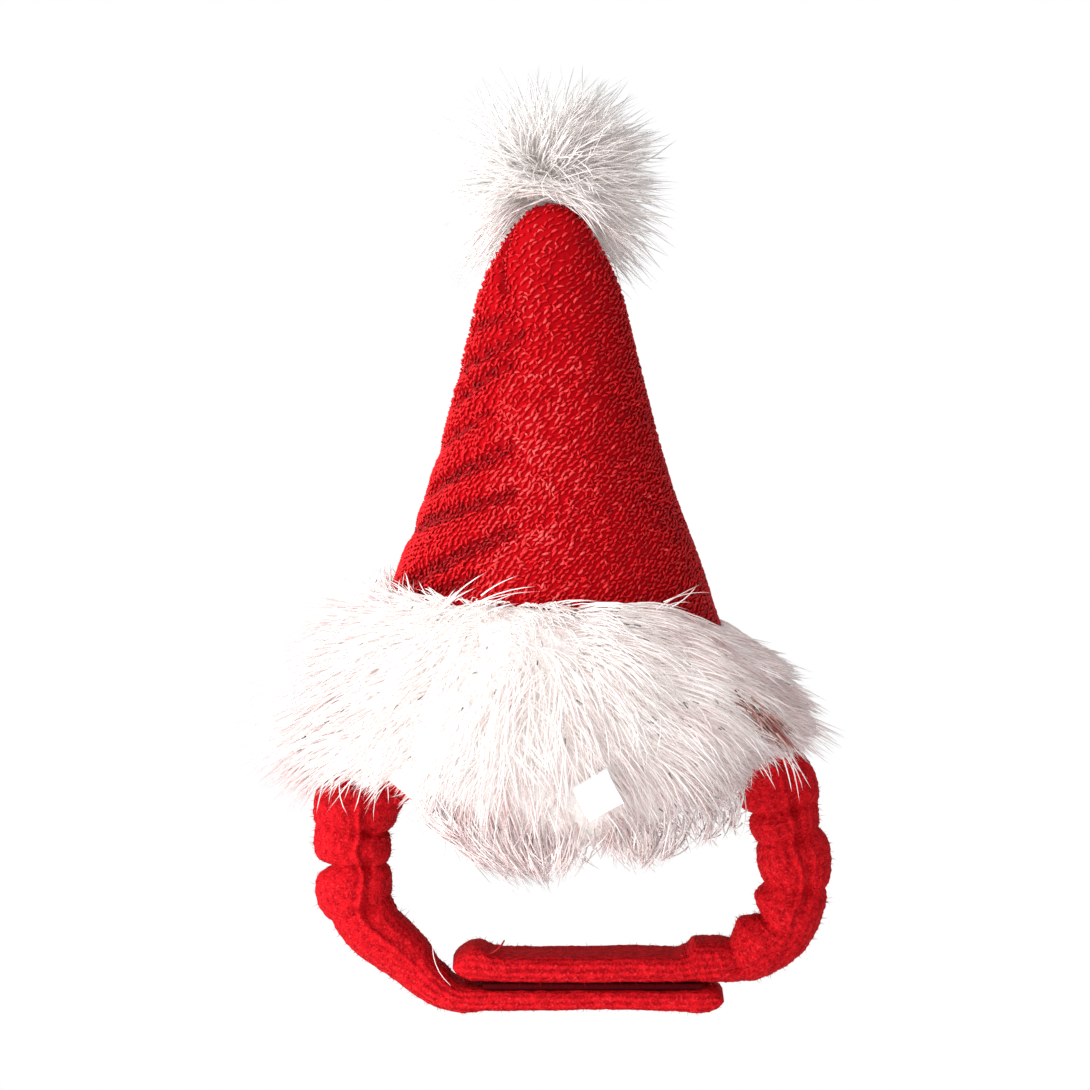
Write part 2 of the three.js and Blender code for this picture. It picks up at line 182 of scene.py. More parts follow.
# A smooth curve through the rows of a table, read at 0 to its last row
def through(rows, at):
    rows = np.asarray(rows, float)
    grown = np.vstack([2 * rows[0] - rows[1], rows, 2 * rows[-1] - rows[-2]])
    at = np.clip(at, 0, len(rows) - 1)
    index = np.minimum(at.astype(int), len(rows) - 2)
    t = (at - index)[..., None]
    a = grown[index]
    b = grown[index + 1]
    c = grown[index + 2]
    d = grown[index + 3]
    return b + 0.5 * t * (c - a + t * (2 * a - 5 * b + 4 * c - d + t * (3 * (b - c) + d - a)))


# How far along a line each of its points is
def runOf(points):
    return np.concatenate([[0], np.cumsum(np.linalg.norm(np.diff(points, axis=0), axis=1))])


# Small tools for meshes
def clearSelection():
    if bpy.context.object and bpy.context.object.mode != "OBJECT":
        bpy.ops.object.mode_set(mode="OBJECT")
    bpy.ops.object.select_all(action="DESELECT")


def pickOnly(piece):
    clearSelection()
    piece.select_set(True)
    bpy.context.view_layer.objects.active = piece


def applyModifier(piece, kind, **settings):
    pickOnly(piece)
    modifier = piece.modifiers.new(kind.title(), kind)
    for key, value in settings.items():
        setattr(modifier, key, value)
    bpy.ops.object.modifier_apply(modifier=modifier.name)


def smoothShade(piece):
    piece.data.polygons.foreach_set("use_smooth", np.ones(len(piece.data.polygons), bool))
    piece.data.update()


def markPoints(mesh, name, marks):
    field = mesh.attributes.new(name, "FLOAT_VECTOR", "POINT")
    field.data.foreach_set("vector", marks.astype(np.float32).ravel())


# Turns the faces outwards, once open edges are bridged or near points merged
def mendMesh(piece, bridge=False, merge=0.0):
    pickOnly(piece)
    bpy.ops.object.mode_set(mode="EDIT")
    if bridge:
        bpy.ops.mesh.select_all(action="DESELECT")
        bpy.ops.mesh.select_non_manifold()
        bpy.ops.mesh.bridge_edge_loops()
    bpy.ops.mesh.select_all(action="SELECT")
    if merge:
        bpy.ops.mesh.remove_doubles(threshold=merge)
    bpy.ops.mesh.normals_make_consistent(inside=False)
    bpy.ops.object.mode_set(mode="OBJECT")
    smoothShade(piece)


# A tube extruded ring by ring from a circle, then each ring set on its section
def ringTube(name, sides, rings, place, closed, capInset=0.4):
    clearSelection()
    bpy.ops.mesh.primitive_circle_add(vertices=sides, radius=1, location=(0, 0, 0))
    piece = bpy.context.object
    piece.name = name
    bpy.ops.object.mode_set(mode="EDIT")
    bpy.ops.mesh.select_all(action="SELECT")
    if closed:
        bpy.ops.mesh.edge_face_add()
        bpy.ops.mesh.inset(thickness=capInset)
        bpy.ops.mesh.select_all(action="DESELECT")
        bpy.ops.mesh.select_non_manifold()
    for ring in range(1, rings):
        bpy.ops.mesh.extrude_region_move(TRANSFORM_OT_translate={"value": (0, 0, 1)})
    if closed:
        bpy.ops.mesh.edge_face_add()
        bpy.ops.mesh.inset(thickness=capInset)
    bpy.ops.object.mode_set(mode="OBJECT")
    rest = np.empty(len(piece.data.vertices) * 3)
    piece.data.vertices.foreach_get("co", rest)
    x, y, z = rest.reshape(-1, 3).T
    along = z / (rings - 1)
    moved = place(along, np.arctan2(y, x), np.minimum(np.hypot(x, y), 1))
    piece.data.vertices.foreach_set("co", moved.ravel())
    markPoints(piece.data, "turn", np.stack([x, y, along], 1))
    piece.data.update()
    mendMesh(piece)
    return piece


# Many closed strands in one mesh: paths are count x rings x 3, thick is count x rings
def strandMesh(name, paths, thick, lift, sides, pointed, tone, kind):
    count, rings = paths.shape[:2]
    ahead = unit(np.gradient(paths, axis=1))
    beside = unit(np.cross(ahead, lift[:, None, :]))
    above = np.cross(beside, ahead)
    turn = np.arange(sides) * 2 * np.pi / sides
    spokes = beside[:, :, None] * np.cos(turn)[:, None] + above[:, :, None] * np.sin(turn)[:, None]
    skin = paths[:, :, None] + spokes * thick[:, :, None, None]
    body = rings - 1 if pointed else rings
    points = skin[:, :body].reshape(count, body * sides, 3)
    along = np.repeat(np.linspace(0, 1, rings)[:body], sides)
    if pointed:
        points = np.concatenate([points, paths[:, -1:]], axis=1)
        along = np.append(along, 1)
    faces = [list(range(sides))]
    for low in range(0, (body - 1) * sides, sides):
        for k in range(sides):
            n = (k + 1) % sides
            faces.append([low + k, low + sides + k, low + sides + n, low + n])
    last = (body - 1) * sides
    if pointed:
        faces += [[last + k, body * sides, last + (k + 1) % sides] for k in range(sides)]
    else:
        faces.append([last + k for k in reversed(range(sides))])
    per = points.shape[1]
    corners = np.concatenate([np.array(face) for face in faces])
    sizes = np.array([len(face) for face in faces])
    loops = (corners[None] + np.arange(count)[:, None] * per).ravel()
    starts = np.concatenate([[0], np.cumsum(np.tile(sizes, count))[:-1]])
    mesh = bpy.data.meshes.new(name)
    mesh.vertices.add(count * per)
    mesh.vertices.foreach_set("co", points.astype(np.float32).ravel())
    mesh.loops.add(len(loops))
    mesh.loops.foreach_set("vertex_index", loops.astype(np.int32))
    mesh.polygons.add(len(starts))
    mesh.polygons.foreach_set("loop_start", starts.astype(np.int32))
    mesh.update(calc_edges=True)
    marks = np.empty((count, per, 3))
    marks[:, :, 0] = tone[:, None]
    marks[:, :, 1] = along[None]
    marks[:, :, 2] = kind[:, None]
    markPoints(mesh, "strand", marks)
    piece = bpy.data.objects.new(name, mesh)
    bpy.context.collection.objects.link(piece)
    smoothShade(piece)
    return piece


# Three-sided pointed strands, given in mm
def pileMesh(name, paths, thick, lift, tone, kind):
    return strandMesh(name, paths * mm, thick * mm, lift, 3, True, tone, kind)


# Pile whose strands draw their thickness, tone and tint between two ends
def mixedPile(name, chance, paths, base, spread, taper, tones, tints):
    count = len(paths)
    thick = base * chance.uniform(*spread, (count, 1)) * taper
    lift = anyWay(chance, count)
    tone = chance.uniform(*tones, count)
    return pileMesh(name, paths, thick, lift, tone, chance.uniform(*tints, count))


# Strands bend from root to tip
def bent(root, bend, tip, rings, share=1.0):
    t = (np.linspace(0, 1, rings) * np.reshape(share, (-1, 1)))[:, :, None]
    return (1 - t) ** 2 * root[:, None] + 2 * t * (1 - t) * bend[:, None] + t ** 2 * tip[:, None]


def finishPiece(piece, paint, slot, *nodes):
    piece.data.materials.clear()
    piece.data.materials.append(paint.material)
    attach(piece, "root")
    if nodes:
        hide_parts(*nodes)
    print(piece.name, len(piece.data.polygons), "faces")


# The cone that the other pieces are set on, in mm and degrees
cone = {
    "outline": [  # height, half width
        (167.2, 0), (166.2, 4.4), (163.8, 7.9), (159.6, 11.3), (151.2, 16), (142.8, 19.6), (126, 23.8),
        (100.8, 30.2), (84, 35.4), (67.2, 41.7), (54.6, 45.6), (30, 52), (0, 58)],
    "folds": [  # from azimuth and height, to azimuth and height, depth
        (-88, 132.2, -30, 138, 1.5), (-98, 118.8, -24, 132, 2.0), (-84, 111, -28, 125, 1.9),
        (-102, 95.8, -38, 111, 1.9), (-90, 85.6, -22, 102, 2.3), (-106, 72.9, -19, 90, 2.2),
        (-86, 57.7, -18, 80, 2.6), (-72, 55, -32, 67, 2.4), (-85, 164, -44, 144, 2.2),
        (34, 92, 82, 80, 1.6), (30, 118, 76, 108, 1.4), (120, 98, 200, 106, 1.8), (150, 74, 236, 70, 2.0)],
    "foldReach": 2.9, "foldLeft": 1.35, "foldRight": 0.5, "foldBack": 0.5, "backFrom": 108, "backOver": 30,
    "foldStart": (0.4, 0.22), "foldFade": (1.15, 0.5), "seamAt": -93, "seamWide": 15, "seamHold": 0.62,
    "depthRatio": 0.88, "tipLean": 6, "tipPlain": 8, "liftLeft": 15, "liftRight": 21, "liftTop": 58,
    "trimTop": 57, "trimSlump": 9, "wall": 2.2, "steps": 600,
}
coneLine = through(cone["outline"], np.linspace(0, len(cone["outline"]) - 1, cone["steps"]))
coneSlant = runOf(coneLine)


def coneReach(height):
    return np.interp(-np.maximum(height, 0), -coneLine[:, 0], coneLine[:, 1])


def foldDepth(azimuth, height, halfWidth):
    depth = np.zeros_like(height, float)
    first, over = cone["foldStart"]
    full, loss = cone["foldFade"]
    for fromAz, fromHeight, toAz, toHeight, deep in cone["folds"]:
        span = toAz - fromAz
        fromMiddle = (np.degrees(azimuth) - (fromAz + toAz) / 2 + 180) % 360 - 180
        share = fromMiddle / span + 0.5
        inside = np.clip(share, 0, 1)
        line = fromHeight + (toHeight - fromHeight) * inside
        past = np.radians((share - inside) * span) * halfWidth
        fade = (full - loss * inside) * (first + (1 - first) * ease(inside / over))
        depth += deep * fade * np.exp(-((height - line) ** 2 + past ** 2) / cone["foldReach"] ** 2)
    turned = (np.degrees(azimuth) + 180) % 360 - 180
    seam = 1 - cone["seamHold"] * hump(turned, cone["seamAt"], cone["seamWide"])  # holds the cloth
    side = np.where(turned < 0, cone["foldLeft"], cone["foldRight"])
    toBack = ease((np.abs(turned) - cone["backFrom"]) / cone["backOver"])
    return depth * (side + (cone["foldBack"] - side) * toBack) * seam


def conePoint(azimuth, halfWidth, height, foldShare=1.0):
    azimuth = (azimuth + np.pi) % (2 * np.pi) - np.pi
    fold = foldShare * ease(halfWidth / cone["tipPlain"]) * foldDepth(azimuth, height, halfWidth)
    reach = halfWidth - fold
    earLift = np.where(azimuth > 0, cone["liftRight"], cone["liftLeft"])
    lift = earLift * np.sin(azimuth) ** 2 * np.clip(1 - height / cone["liftTop"], 0, None) ** 1.5
    tall = cone["outline"][0][0] - cone["trimTop"]
    up = np.clip((height - cone["trimTop"]) / tall, 0, 1)
    x = reach * np.sin(azimuth)
    y = cone["tipLean"] * up ** 2 - reach * cone["depthRatio"] * np.cos(azimuth)
    return np.stack([x, y, height + lift], axis=-1)


# Knitted crown: the cloth wall, and the yarn laid on its two panels
crown = {"sides": 112, "rings": 92, "inset": 0.32, "least": 0.05, "merge": 0.02}


# Height and half width, at a share of the outline's rows
def outlineAt(share):
    row = share * (len(coneLine) - 1)
    return [np.interp(row, np.arange(len(coneLine)), column) for column in coneLine.T]


def crownPlace(along, angle, reach):
    share = 1 - along
    height, wide = outlineAt(share)
    wide = np.where(share <= 0, 0, np.maximum(wide - crown["inset"], crown["least"]))
    return conePoint(angle, wide, height) * mm


crownWall = ringTube("crownWall", crown["sides"], crown["rings"], crownPlace, False)
mendMesh(crownWall, merge=crown["merge"] * mm)  # the last ring closes at the tip
applyModifier(crownWall, "SOLIDIFY", thickness=(cone["wall"] - crown["inset"]) * mm, offset=-1)
smoothShade(crownWall)

# Fold depth on the wall, used only to paint shade into the creases
wallTurn = np.empty(len(crownWall.data.vertices) * 3, np.float32)
crownWall.data.attributes["turn"].data.foreach_get("vector", wallTurn)
wallTurn = wallTurn.reshape(-1, 3)
wallFoldShade = np.zeros_like(wallTurn)
wallFoldShade[:, 0] = foldDepth(np.arctan2(wallTurn[:, 1], wallTurn[:, 0]), *outlineAt(1 - wallTurn[:, 2]))
markPoints(crownWall.data, "fold", wallFoldShade)

redKnit = Paint("redKnit", Roughness=0.9, Specular_IOR_Level=0.05)
knitPlace = redKnit.place()
knitFoldShade = redKnit.part(redKnit.mark("fold"), 0)
knitGrain = redKnit.noise(knitPlace, 900, 3, 0.6)
knitPatch = redKnit.noise(knitPlace, 60, 2, 0.5)
# the wall's colour is darker in the folds: painted shade in the creases
knitShare = knitPatch * 0.4 + knitGrain * 0.3 + 0.3 - knitFoldShade * 0.24
redKnit.give("Base Color", redKnit.mix(knitShare, (0.16, 0.0005, 0.002, 1), (0.56, 0.002, 0.007, 1)))
redKnit.bump(knitGrain, 0.6, 0.0006)
finishPiece(crownWall, redKnit, "red_knit", "crown")

yarn = {
    "panelHalf": math.radians(24.8), "wale": 1.4, "course": 1.3, "jitter": 0.2,
    "fromTip": 1.2, "toSlant": 122, "lowRight": 12,
    "thick": 0.35, "rise": 0.46, "length": 2.0, "curl": 0.24, "lean": (0.82, 0.26),
    "swell": [0.5, 1.0, 1.0, 0.5], "sides": 4,
    "secondShare": 0.16, "secondSize": 0.78, "secondLean": (-0.5, 0.5),  # smaller loops
    "tone": (0.53, 0.14), "foldShade": 0.62, "crests": [122.5, 110.5, 101, 92, 79], "crestHalf": 3,
    "seed": 11,
}
knitChance = np.random.default_rng(yarn["seed"])


# Azimuth, half width and height of places on a flat panel, mm beside its middle and below the tip
def panelPlace(spots, front):
    across, down = spots.T
    turn = np.arctan2(across, down) / yarn["panelHalf"] * (np.pi / 2)
    height, wide = [np.interp(np.hypot(across, down), coneSlant, column) for column in coneLine.T]
    return turn if front else np.pi - turn, wide, height


def panelPoint(spots, front):
    return conePoint(*panelPlace(spots, front)) * mm


# Bent lengths of yarn on a surface: right, down and out are the directions there
def layYarn(name, middle, right, down, out, size, tone, kind):
    steps = np.linspace(0, 1, len(yarn["swell"]))
    swing = np.sin(np.pi * steps)[None] * size["curl"][:, None]
    run = (steps - 0.5)[None] * size["length"][:, None]
    lean = size["lean"][:, None]
    u = run * np.sin(lean) + swing * np.cos(lean)
    v = -run * np.cos(lean) + swing * np.sin(lean)
    n = size["rise"][:, None] * (np.sin(np.pi * (0.06 + 0.88 * steps))[None] - 0.35)
    paths = middle[:, None] + u[..., None] * right[:, None] + v[..., None] * down[:, None]
    paths = paths + n[..., None] * out[:, None]
    thick = size["thick"][:, None] * np.array(yarn["swell"])[None]
    return strandMesh(name, paths, thick, out, yarn["sides"], False, tone, kind)


def knitPanel(name, front, chance):
    slope = math.tan(yarn["panelHalf"])
    rows = []
    lowest = yarn["toSlant"] + yarn["lowRight"]
    for row, down in enumerate(np.arange(yarn["fromTip"], lowest, yarn["course"])):
        reach = math.floor(down * slope / yarn["wale"])
        across = (np.arange(-reach, reach + 1) + 0.5 * (row % 2)) * yarn["wale"]
        rows.append(np.stack([across, np.full(len(across), down)], axis=1))
    spots = np.concatenate(rows)
    besideMiddle = spots[:, 0] / (spots[:, 1] * slope)
    covered = yarn["toSlant"] + yarn["lowRight"] * ease((besideMiddle - 0.3) / 0.5)
    spots = spots[np.hypot(spots[:, 0], spots[:, 1]) < covered]
    spots = spots + chance.normal(0, yarn["jitter"], spots.shape)
    second = chance.random(len(spots)) < yarn["secondShare"]
    extra = spots[second] + np.array([yarn["wale"] * 0.5, yarn["course"] * 0.3])
    lean = np.concatenate([
        chance.normal(*yarn["lean"], len(spots)), chance.normal(*yarn["secondLean"], len(extra))])
    weight = np.concatenate([np.ones(len(spots)), np.full(len(extra), yarn["secondSize"])])
    spots = np.concatenate([spots, extra])
    count = len(spots)

    def wayTo(step):
        return unit(panelPoint(spots + step, front) - panelPoint(spots - step, front))

    right = wayTo([0.5, 0])
    down = wayTo([0, 0.5])
    out = unit(np.cross(down, right)) * (1 if front else -1)
    size = {
        "length": mm * yarn["length"] * weight * chance.uniform(0.8, 1.2, count),
        "curl": mm * chance.normal(0, yarn["curl"], count),
        "lean": lean if front else -lean,
        "rise": mm * yarn["rise"] * weight * chance.uniform(0.75, 1.35, count),
        "thick": mm * yarn["thick"] * weight * chance.uniform(0.8, 1.2, count),
    }
    azimuth, wide, high = panelPlace(spots, front)
    # Painted shade: stitches in the folds get a darker tone
    paintedFoldShade = yarn["foldShade"] * ease((foldDepth(azimuth, high, wide) - 0.6) / 1.3)
    # Painted highlight: tone is raised in bands at the fold crests near the middle and on the lit left, and
    # lowered on the right as painted shade
    glints = sum(hump(high, crest, yarn["crestHalf"]) for crest in yarn["crests"])
    paintedShine = (0.1 + 0.2 * glints) * hump(np.degrees(azimuth), -4, 22)
    paintedShine = paintedShine + 0.26 * ease(-(azimuth + 0.1) / 0.5) - 0.08 * (azimuth > 0.45)
    tone = np.clip(chance.normal(*yarn["tone"], count) + paintedShine - paintedFoldShade, 0, 1)
    # the painted glints are kept off the far left
    tone = np.minimum(tone, 0.67 + 0.33 * ease((azimuth + 0.6) / 0.4))  # glints stay near the middle
    return layYarn(name, panelPoint(spots, front), right, down, out, size, tone, chance.random(count))


redYarn = Paint("redYarn", Roughness=0.5, Specular_IOR_Level=0.22)
yarnTone = redYarn.part(redYarn.mark("strand"), 0)
yarnGrain = redYarn.noise(redYarn.place(), 1600, 2, 0.6)
yarnShare = yarnTone * 0.9 + yarnGrain * 0.5 - 0.14
yarnShade = redYarn.mix(yarnShare, (0.16, 0.0004, 0.002, 1), (0.98, 0.01, 0.018, 1))
# Pale pink flecks on high tones: partly random tone, partly painted highlight carried by the painted shine
# in the tone
yarnFleckAndGlint = (yarnTone > 0.68) * 0.16 + (yarnTone > 0.8) * 0.2 + (yarnTone > 0.9) * 0.25
redYarn.give("Base Color", redYarn.mix(yarnFleckAndGlint, yarnShade, (0.9, 0.16, 0.16, 1)))
redYarn.bump(yarnGrain, 0.8, 0.0005)
for panelName, isFront in (("knitFront", True), ("knitBack", False)):
    finishPiece(knitPanel(panelName, isFront, knitChance), redYarn, "red_knit")


# Fur: strands on a dense core
trim = {
    "core": [(57, 1.5), (50, 5.5), (36, 10), (20, 12), (8, 11), (-2, 7), (-4, 4)],  # height, how far out
    "coreInside": [(-3.5, 0.6), (20, 0.6), (50, 0.5), (57, 0.5)], "coreSides": 96, "coreRings": 44,
    "overStraps": [(-0.85, 0.32, 7), (1.0, 0.3, 4)], "overTop": 14,  # azimuth, spread, lift of the core
    "front": [  # height, bend out and up, tip out and up
        (57, 3.5, 3, 8, 0), (52, 8, 5, 15, -2), (46, 13, 5, 19, -8), (38, 17, 2, 22, -15),
        (28, 19, 2, 22, -19), (17, 17, 1, 19, -20), (8, 12, -2, 13, -18), (0, 8, -5, 9, -16),
        (-3.5, 5, -6, 6, -14)],
    "left": [
        (57, 1.5, 4, 0, 8), (52, 7, 3, 15, 2), (46, 11, 2, 24, -4), (38, 14, 0, 28, -7),
        (28, 15, -1, 31, -8), (17, 15, -2, 30, -9), (8, 13, -2, 26, -12), (0, 11, -4, 22, -15),
        (-3.5, 8, -5, 15, -17)],
    "right": [
        (57, 3, 0, 5, -3), (52, 7, 0, 10.5, -4), (46, 9, 1, 15, -4), (38, 11, 1, 17, -5),
        (28, 12, 0, 19, -6), (17, 12, -1, 19, -7), (8, 11, -2, 17, -7), (0, 9, -3, 13, -8),
        (-3.5, 6, -4, 9, -8)],
    "hem": [  # lowest place of the pile as seen from the front, x and height
        (-90, 6), (-77, 2), (-69, -2), (-66, 2), (-61, 2), (-57.5, 8), (-53.5, 3.5), (-50, 1.5), (-46, 7),
        (-41, 2), (-38, 0), (-33.6, -4), (-22.4, -14), (-8.4, -21), (2.8, -19.6), (11.2, -13.5),
        (16.8, -13.5), (28, -17.4), (42, -12.6), (53, -2), (56.5, 8), (60, 11.5), (70, 12), (74, 8),
        (78, 9), (90, 10)],
    "hemSteps": 17, "hemRough": 1.5, "hemBehind": 8, "shortest": 0.3,
    "sweep": [  # azimuth and the turn of the tips
        (-1.57, 0), (-1.2, -0.16), (-0.8, -0.3), (-0.5, -0.1), (-0.2, -0.04), (0, 0.03), (0.25, 0.2),
        (0.5, 0.36), (0.9, 0.3), (1.3, 0.12), (1.57, 0)],
    "layers": {"Under": (4, 0.55, 0.95), "Guard": (5, 0.8, 1.12)},  # rings, shortest, longest
    "strands": {"furFront": (9500, 9200), "furBack": (13000, 9200)},  # under pile, guard hairs
    "clumps": 760, "collar": 1300, "lowest": -3.5, "thick": 0.27, "thicks": [0.65, 0.9, 1.15, 1.5],
    "raise": 3.5, "slump": 10, "backSlump": 4, "seed": 23,
}


def trimPoint(azimuth, halfWidth, height, lower):
    lowered = height - lower * np.clip(height / cone["trimTop"], 0, 1)
    return conePoint(azimuth, halfWidth - coneReach(height) + coneReach(lowered), lowered, 0.0)


# The band stands a little higher at the front, and its core slumps at the right
def raisedAt(height, azimuth):
    return height + trim["raise"] * np.clip(np.cos(azimuth), 0, 1) * np.clip(height / cone["trimTop"], 0, 1)


def coreSlump(azimuth):
    return cone["trimSlump"] * ease(0.2 + 0.8 * np.sin(azimuth))


def corePlace(along, angle, reach):
    rows = np.array(trim["core"] + trim["coreInside"], float)
    at = along * (len(rows) - 1)
    height, out = [np.interp(at, np.arange(len(rows)), column) for column in rows.T]
    height = raisedAt(height, angle)
    points = trimPoint(angle, coneReach(height) + out, height, coreSlump(angle))
    over = sum(lift * hump(angle, middle, spread) for middle, spread, lift in trim["overStraps"])
    points[..., 2] += over * np.clip((trim["overTop"] - height) / trim["overTop"], 0, 1.3)
    return points * mm


# The fur's emission is painted light, standing in for light scattered in the pile
def furPaint(name, paintedGlow, dark, root):
    paint = Paint(name, Specular_IOR_Level=0.4, Emission_Strength=paintedGlow)
    mark = paint.mark("strand")
    tone, along, tint = [paint.part(mark, axis) for axis in range(3)]
    # Tinted strands glow less and redder, so the painted glow keeps their painted shade
    paint.give("Emission Color", paint.mix(tint * 1.3, (1, 0.91, 0.88, 1), (0.15, 0.06, 0.06, 1)))
    white = paint.mix(tone, dark, (0.99, 0.975, 0.965, 1))
    pale = paint.mix(along * 0.4, white, (0.985, 0.97, 0.96, 1))
    tinted = paint.mix(tint, pale, (0.76, 0.55, 0.55, 1))
    # Painted shade near the roots: towards the root the colour turns to the root colour, darkest on the
    # pompom
    paint.give("Base Color", paint.mix(along * 1.8, root, tinted))
    paint.give("Roughness", 0.34 + tone * 0.2)
    return paint


whiteFur = furPaint("whiteFur", 0.2, (0.9, 0.84, 0.81, 1), (0.96, 0.92, 0.9, 1))
pompomWhite = furPaint("pompomWhite", 0.07, (0.86, 0.81, 0.78, 1), (0.8, 0.75, 0.72, 1))
woolCore = grainPaint(
    "woolCore", (500, 3, 0.6), (0.86, 0.79, 0.77, 1), (0.96, 0.92, 0.9, 1), (0.8, 0.002),
    Roughness=0.9, Specular_IOR_Level=0.2)
furCore = ringTube("furCore", trim["coreSides"], trim["coreRings"], corePlace, False)
mendMesh(furCore, bridge=True)
finishPiece(furCore, woolCore, "white_fur", "fur_trim")


def trimStrands(count, rings, shortest, longest, chance):
    clumps = trim["clumps"]
    clumpAz = chance.uniform(-np.pi, np.pi, clumps)
    clumpHeight = -3 + 60 * chance.random(clumps) ** 0.85
    clumpGrow = chance.normal(1, 0.15, clumps)
    clumpDrift = chance.normal(0, 0.12, clumps)
    clumpUp = chance.normal(0, 2.4, clumps)
    clumpOut = chance.normal(0, 2.2, clumps)
    clumpKind = np.clip(chance.normal(0.12, 0.16, clumps), 0, 1)
    clumpTone = chance.normal(0.58, 0.28, clumps)
    own = chance.integers(0, clumps, count)
    scatter = chance.normal(0, 1, (count, 6))
    wild = np.where(chance.random(count) < 0.05, 2.4, 1.0)
    azimuth = clumpAz[own] + scatter[:, 1] * 0.055
    height = np.clip(clumpHeight[own] + scatter[:, 0] * 2.4, trim["lowest"], cone["trimTop"])
    toFront = np.cos(azimuth) ** 2
    toLeft = np.where(np.sin(azimuth) < 0, 1 - toFront, 0)
    toRight = 1 - toFront - toLeft

    def column(index):
        value = 0 * height
        for share, way in ((toFront, "front"), (toLeft, "left"), (toRight, "right")):
            rows = np.array(trim[way], float)[::-1]
            value = value + share * np.interp(height, rows[:, 0], rows[:, index])
        return value

    grown = clumpGrow[own] * chance.uniform(shortest, longest, count)
    overStrap = hump(np.abs(azimuth), 1.05, 0.3) * np.clip((16 - height) / 12, 0, 1)
    grown = grown * (1 - 0.35 * overStrap)
    sweep = np.interp(azimuth, *np.array(trim["sweep"], float).T)
    sweep = sweep * np.clip((height + 8) / 30, 0.25, 1)
    sweep = sweep + 0.22 * hump(azimuth, 0.1, 0.7) * np.clip((height - 42) / 12, 0, 1)
    tipAz = clumpAz[own] + (sweep + clumpDrift[own]) * np.clip((66 - height) / 20, 0.6, 1)
    tipAz = tipAz + scatter[:, 2] * 0.028 * wild
    bendAz = azimuth + (tipAz - azimuth) * 0.45
    raised = raisedAt(height, azimuth)
    reach = coneReach(raised)

    def spot(az, out, up):
        lower = trim["slump"] * ease((np.sin(az) - 0.6) / 0.4)
        lower = lower + trim["backSlump"] * ease(np.sin(az)) * ease(0.2 - np.cos(az))
        point = trimPoint(az, reach + out, raised, lower)
        point[:, 2] += up
        return point

    short = np.clip(grown, 0, 1.25)
    root = spot(azimuth, 0.2 * column(1), 0 * height)
    bend = spot(bendAz, column(1) * (0.35 + 0.65 * short) + scatter[:, 3] * 1.2, column(2) * grown)
    tipOut = column(3) * (0.3 + 0.7 * short) + clumpOut[own] + scatter[:, 4] * 0.9 * wild
    calm = np.interp(height, [46, 53], [1, 0.35]) * (1 - 0.4 * toRight)
    tipUp = column(4) * grown + (clumpUp[own] + scatter[:, 5] * 1.2 * wild) * calm
    leastOut = np.interp(height, [50, 57], [2.5, 0])
    tip = spot(tipAz, np.maximum(tipOut, leastOut), tipUp)
    low = np.clip((24 - height) / 20, 0, 1)
    edge = toLeft * np.clip((58 - height) / 12, 0, 1) * (np.abs(azimuth) > 0.7)
    hanging = 1.4 * low * np.maximum(toFront, 0.7 * toLeft)
    # Each clump's tint differs at random; painted shade adds tint on the right side, and at random on the
    # low hanging fringe and the upper left edge
    kind = clumpKind[own] + 0.35 * toRight + (hanging + 0.45 * edge) * chance.random(count)
    kind = np.clip(kind, 0, 1)

    # each strand ends where it meets the hem, as the camera sees it
    steps = np.linspace(0, 1, trim["hemSteps"])
    trial = bent(root, bend, tip, trim["hemSteps"])
    seen = trial[..., 2] * 0.99 + trial[..., 1] * 0.139
    behind = (trial[..., 1] > 4) & (trial[..., 0] > 53) & (trial[..., 0] < 73)  # the strap hides these
    lowest = np.interp(trial[..., 0], *np.array(trim["hem"], float).T) - trim["hemBehind"] * behind
    under = seen < lowest + trim["hemRough"] * chance.standard_t(4, count)[:, None]
    under[:, 0] = False
    share = np.where(under.any(axis=1), steps[np.maximum(under.argmax(axis=1) - 1, 0)], 1.0)
    long = share > trim["shortest"]
    # Painted light: tone is raised at the front left, above the low fringe
    paintedFrontLight = 0.3 * hump(azimuth, -0.2, 0.6) * (1 - low)
    tone = np.clip(clumpTone[own] + paintedFrontLight + chance.normal(0, 0.16, count), 0, 1)
    return bent(root[long], bend[long], tip[long], rings, share[long]), kind[long], tone[long]


# Strands stay out of the straps and off the label's face
clearOf = {"straps": [(-67, -43), (52, 76)], "strapDeep": 10, "strapTop": 8,
           "labelWide": (8, 22), "labelHigh": (-10, 4), "labelFront": -60}


def keepStrands(paths):
    x, y, z = np.moveaxis(paths, -1, 0)

    def within(value, ends):
        return (value > ends[0]) & (value < ends[1])

    atStrap = within(x, clearOf["straps"][0]) | within(x, clearOf["straps"][1])
    inStrap = atStrap & (np.abs(y) < clearOf["strapDeep"]) & (z < clearOf["strapTop"])
    atLabel = within(x, clearOf["labelWide"]) & within(z, clearOf["labelHigh"])
    onLabel = atLabel & (y < clearOf["labelFront"])
    return ~(inStrap | onLabel).any(axis=1)


def growTrim(name, count, rings, shortest, longest, seed, atBack):
    chance = np.random.default_rng(seed)
    paths, kind, tone = trimStrands(count, rings, shortest, longest, chance)
    keep = keepStrands(paths) & ((paths[:, 0, 1] >= 0) == atBack)
    paths = paths[keep]
    count = len(paths)
    taper = 1 - 0.6 * np.linspace(0, 1, rings)
    thick = trim["thick"] * chance.choice(trim["thicks"], count)[:, None] * taper[None]
    return pileMesh(name, paths, thick, anyWay(chance, count), tone[keep], kind[keep])


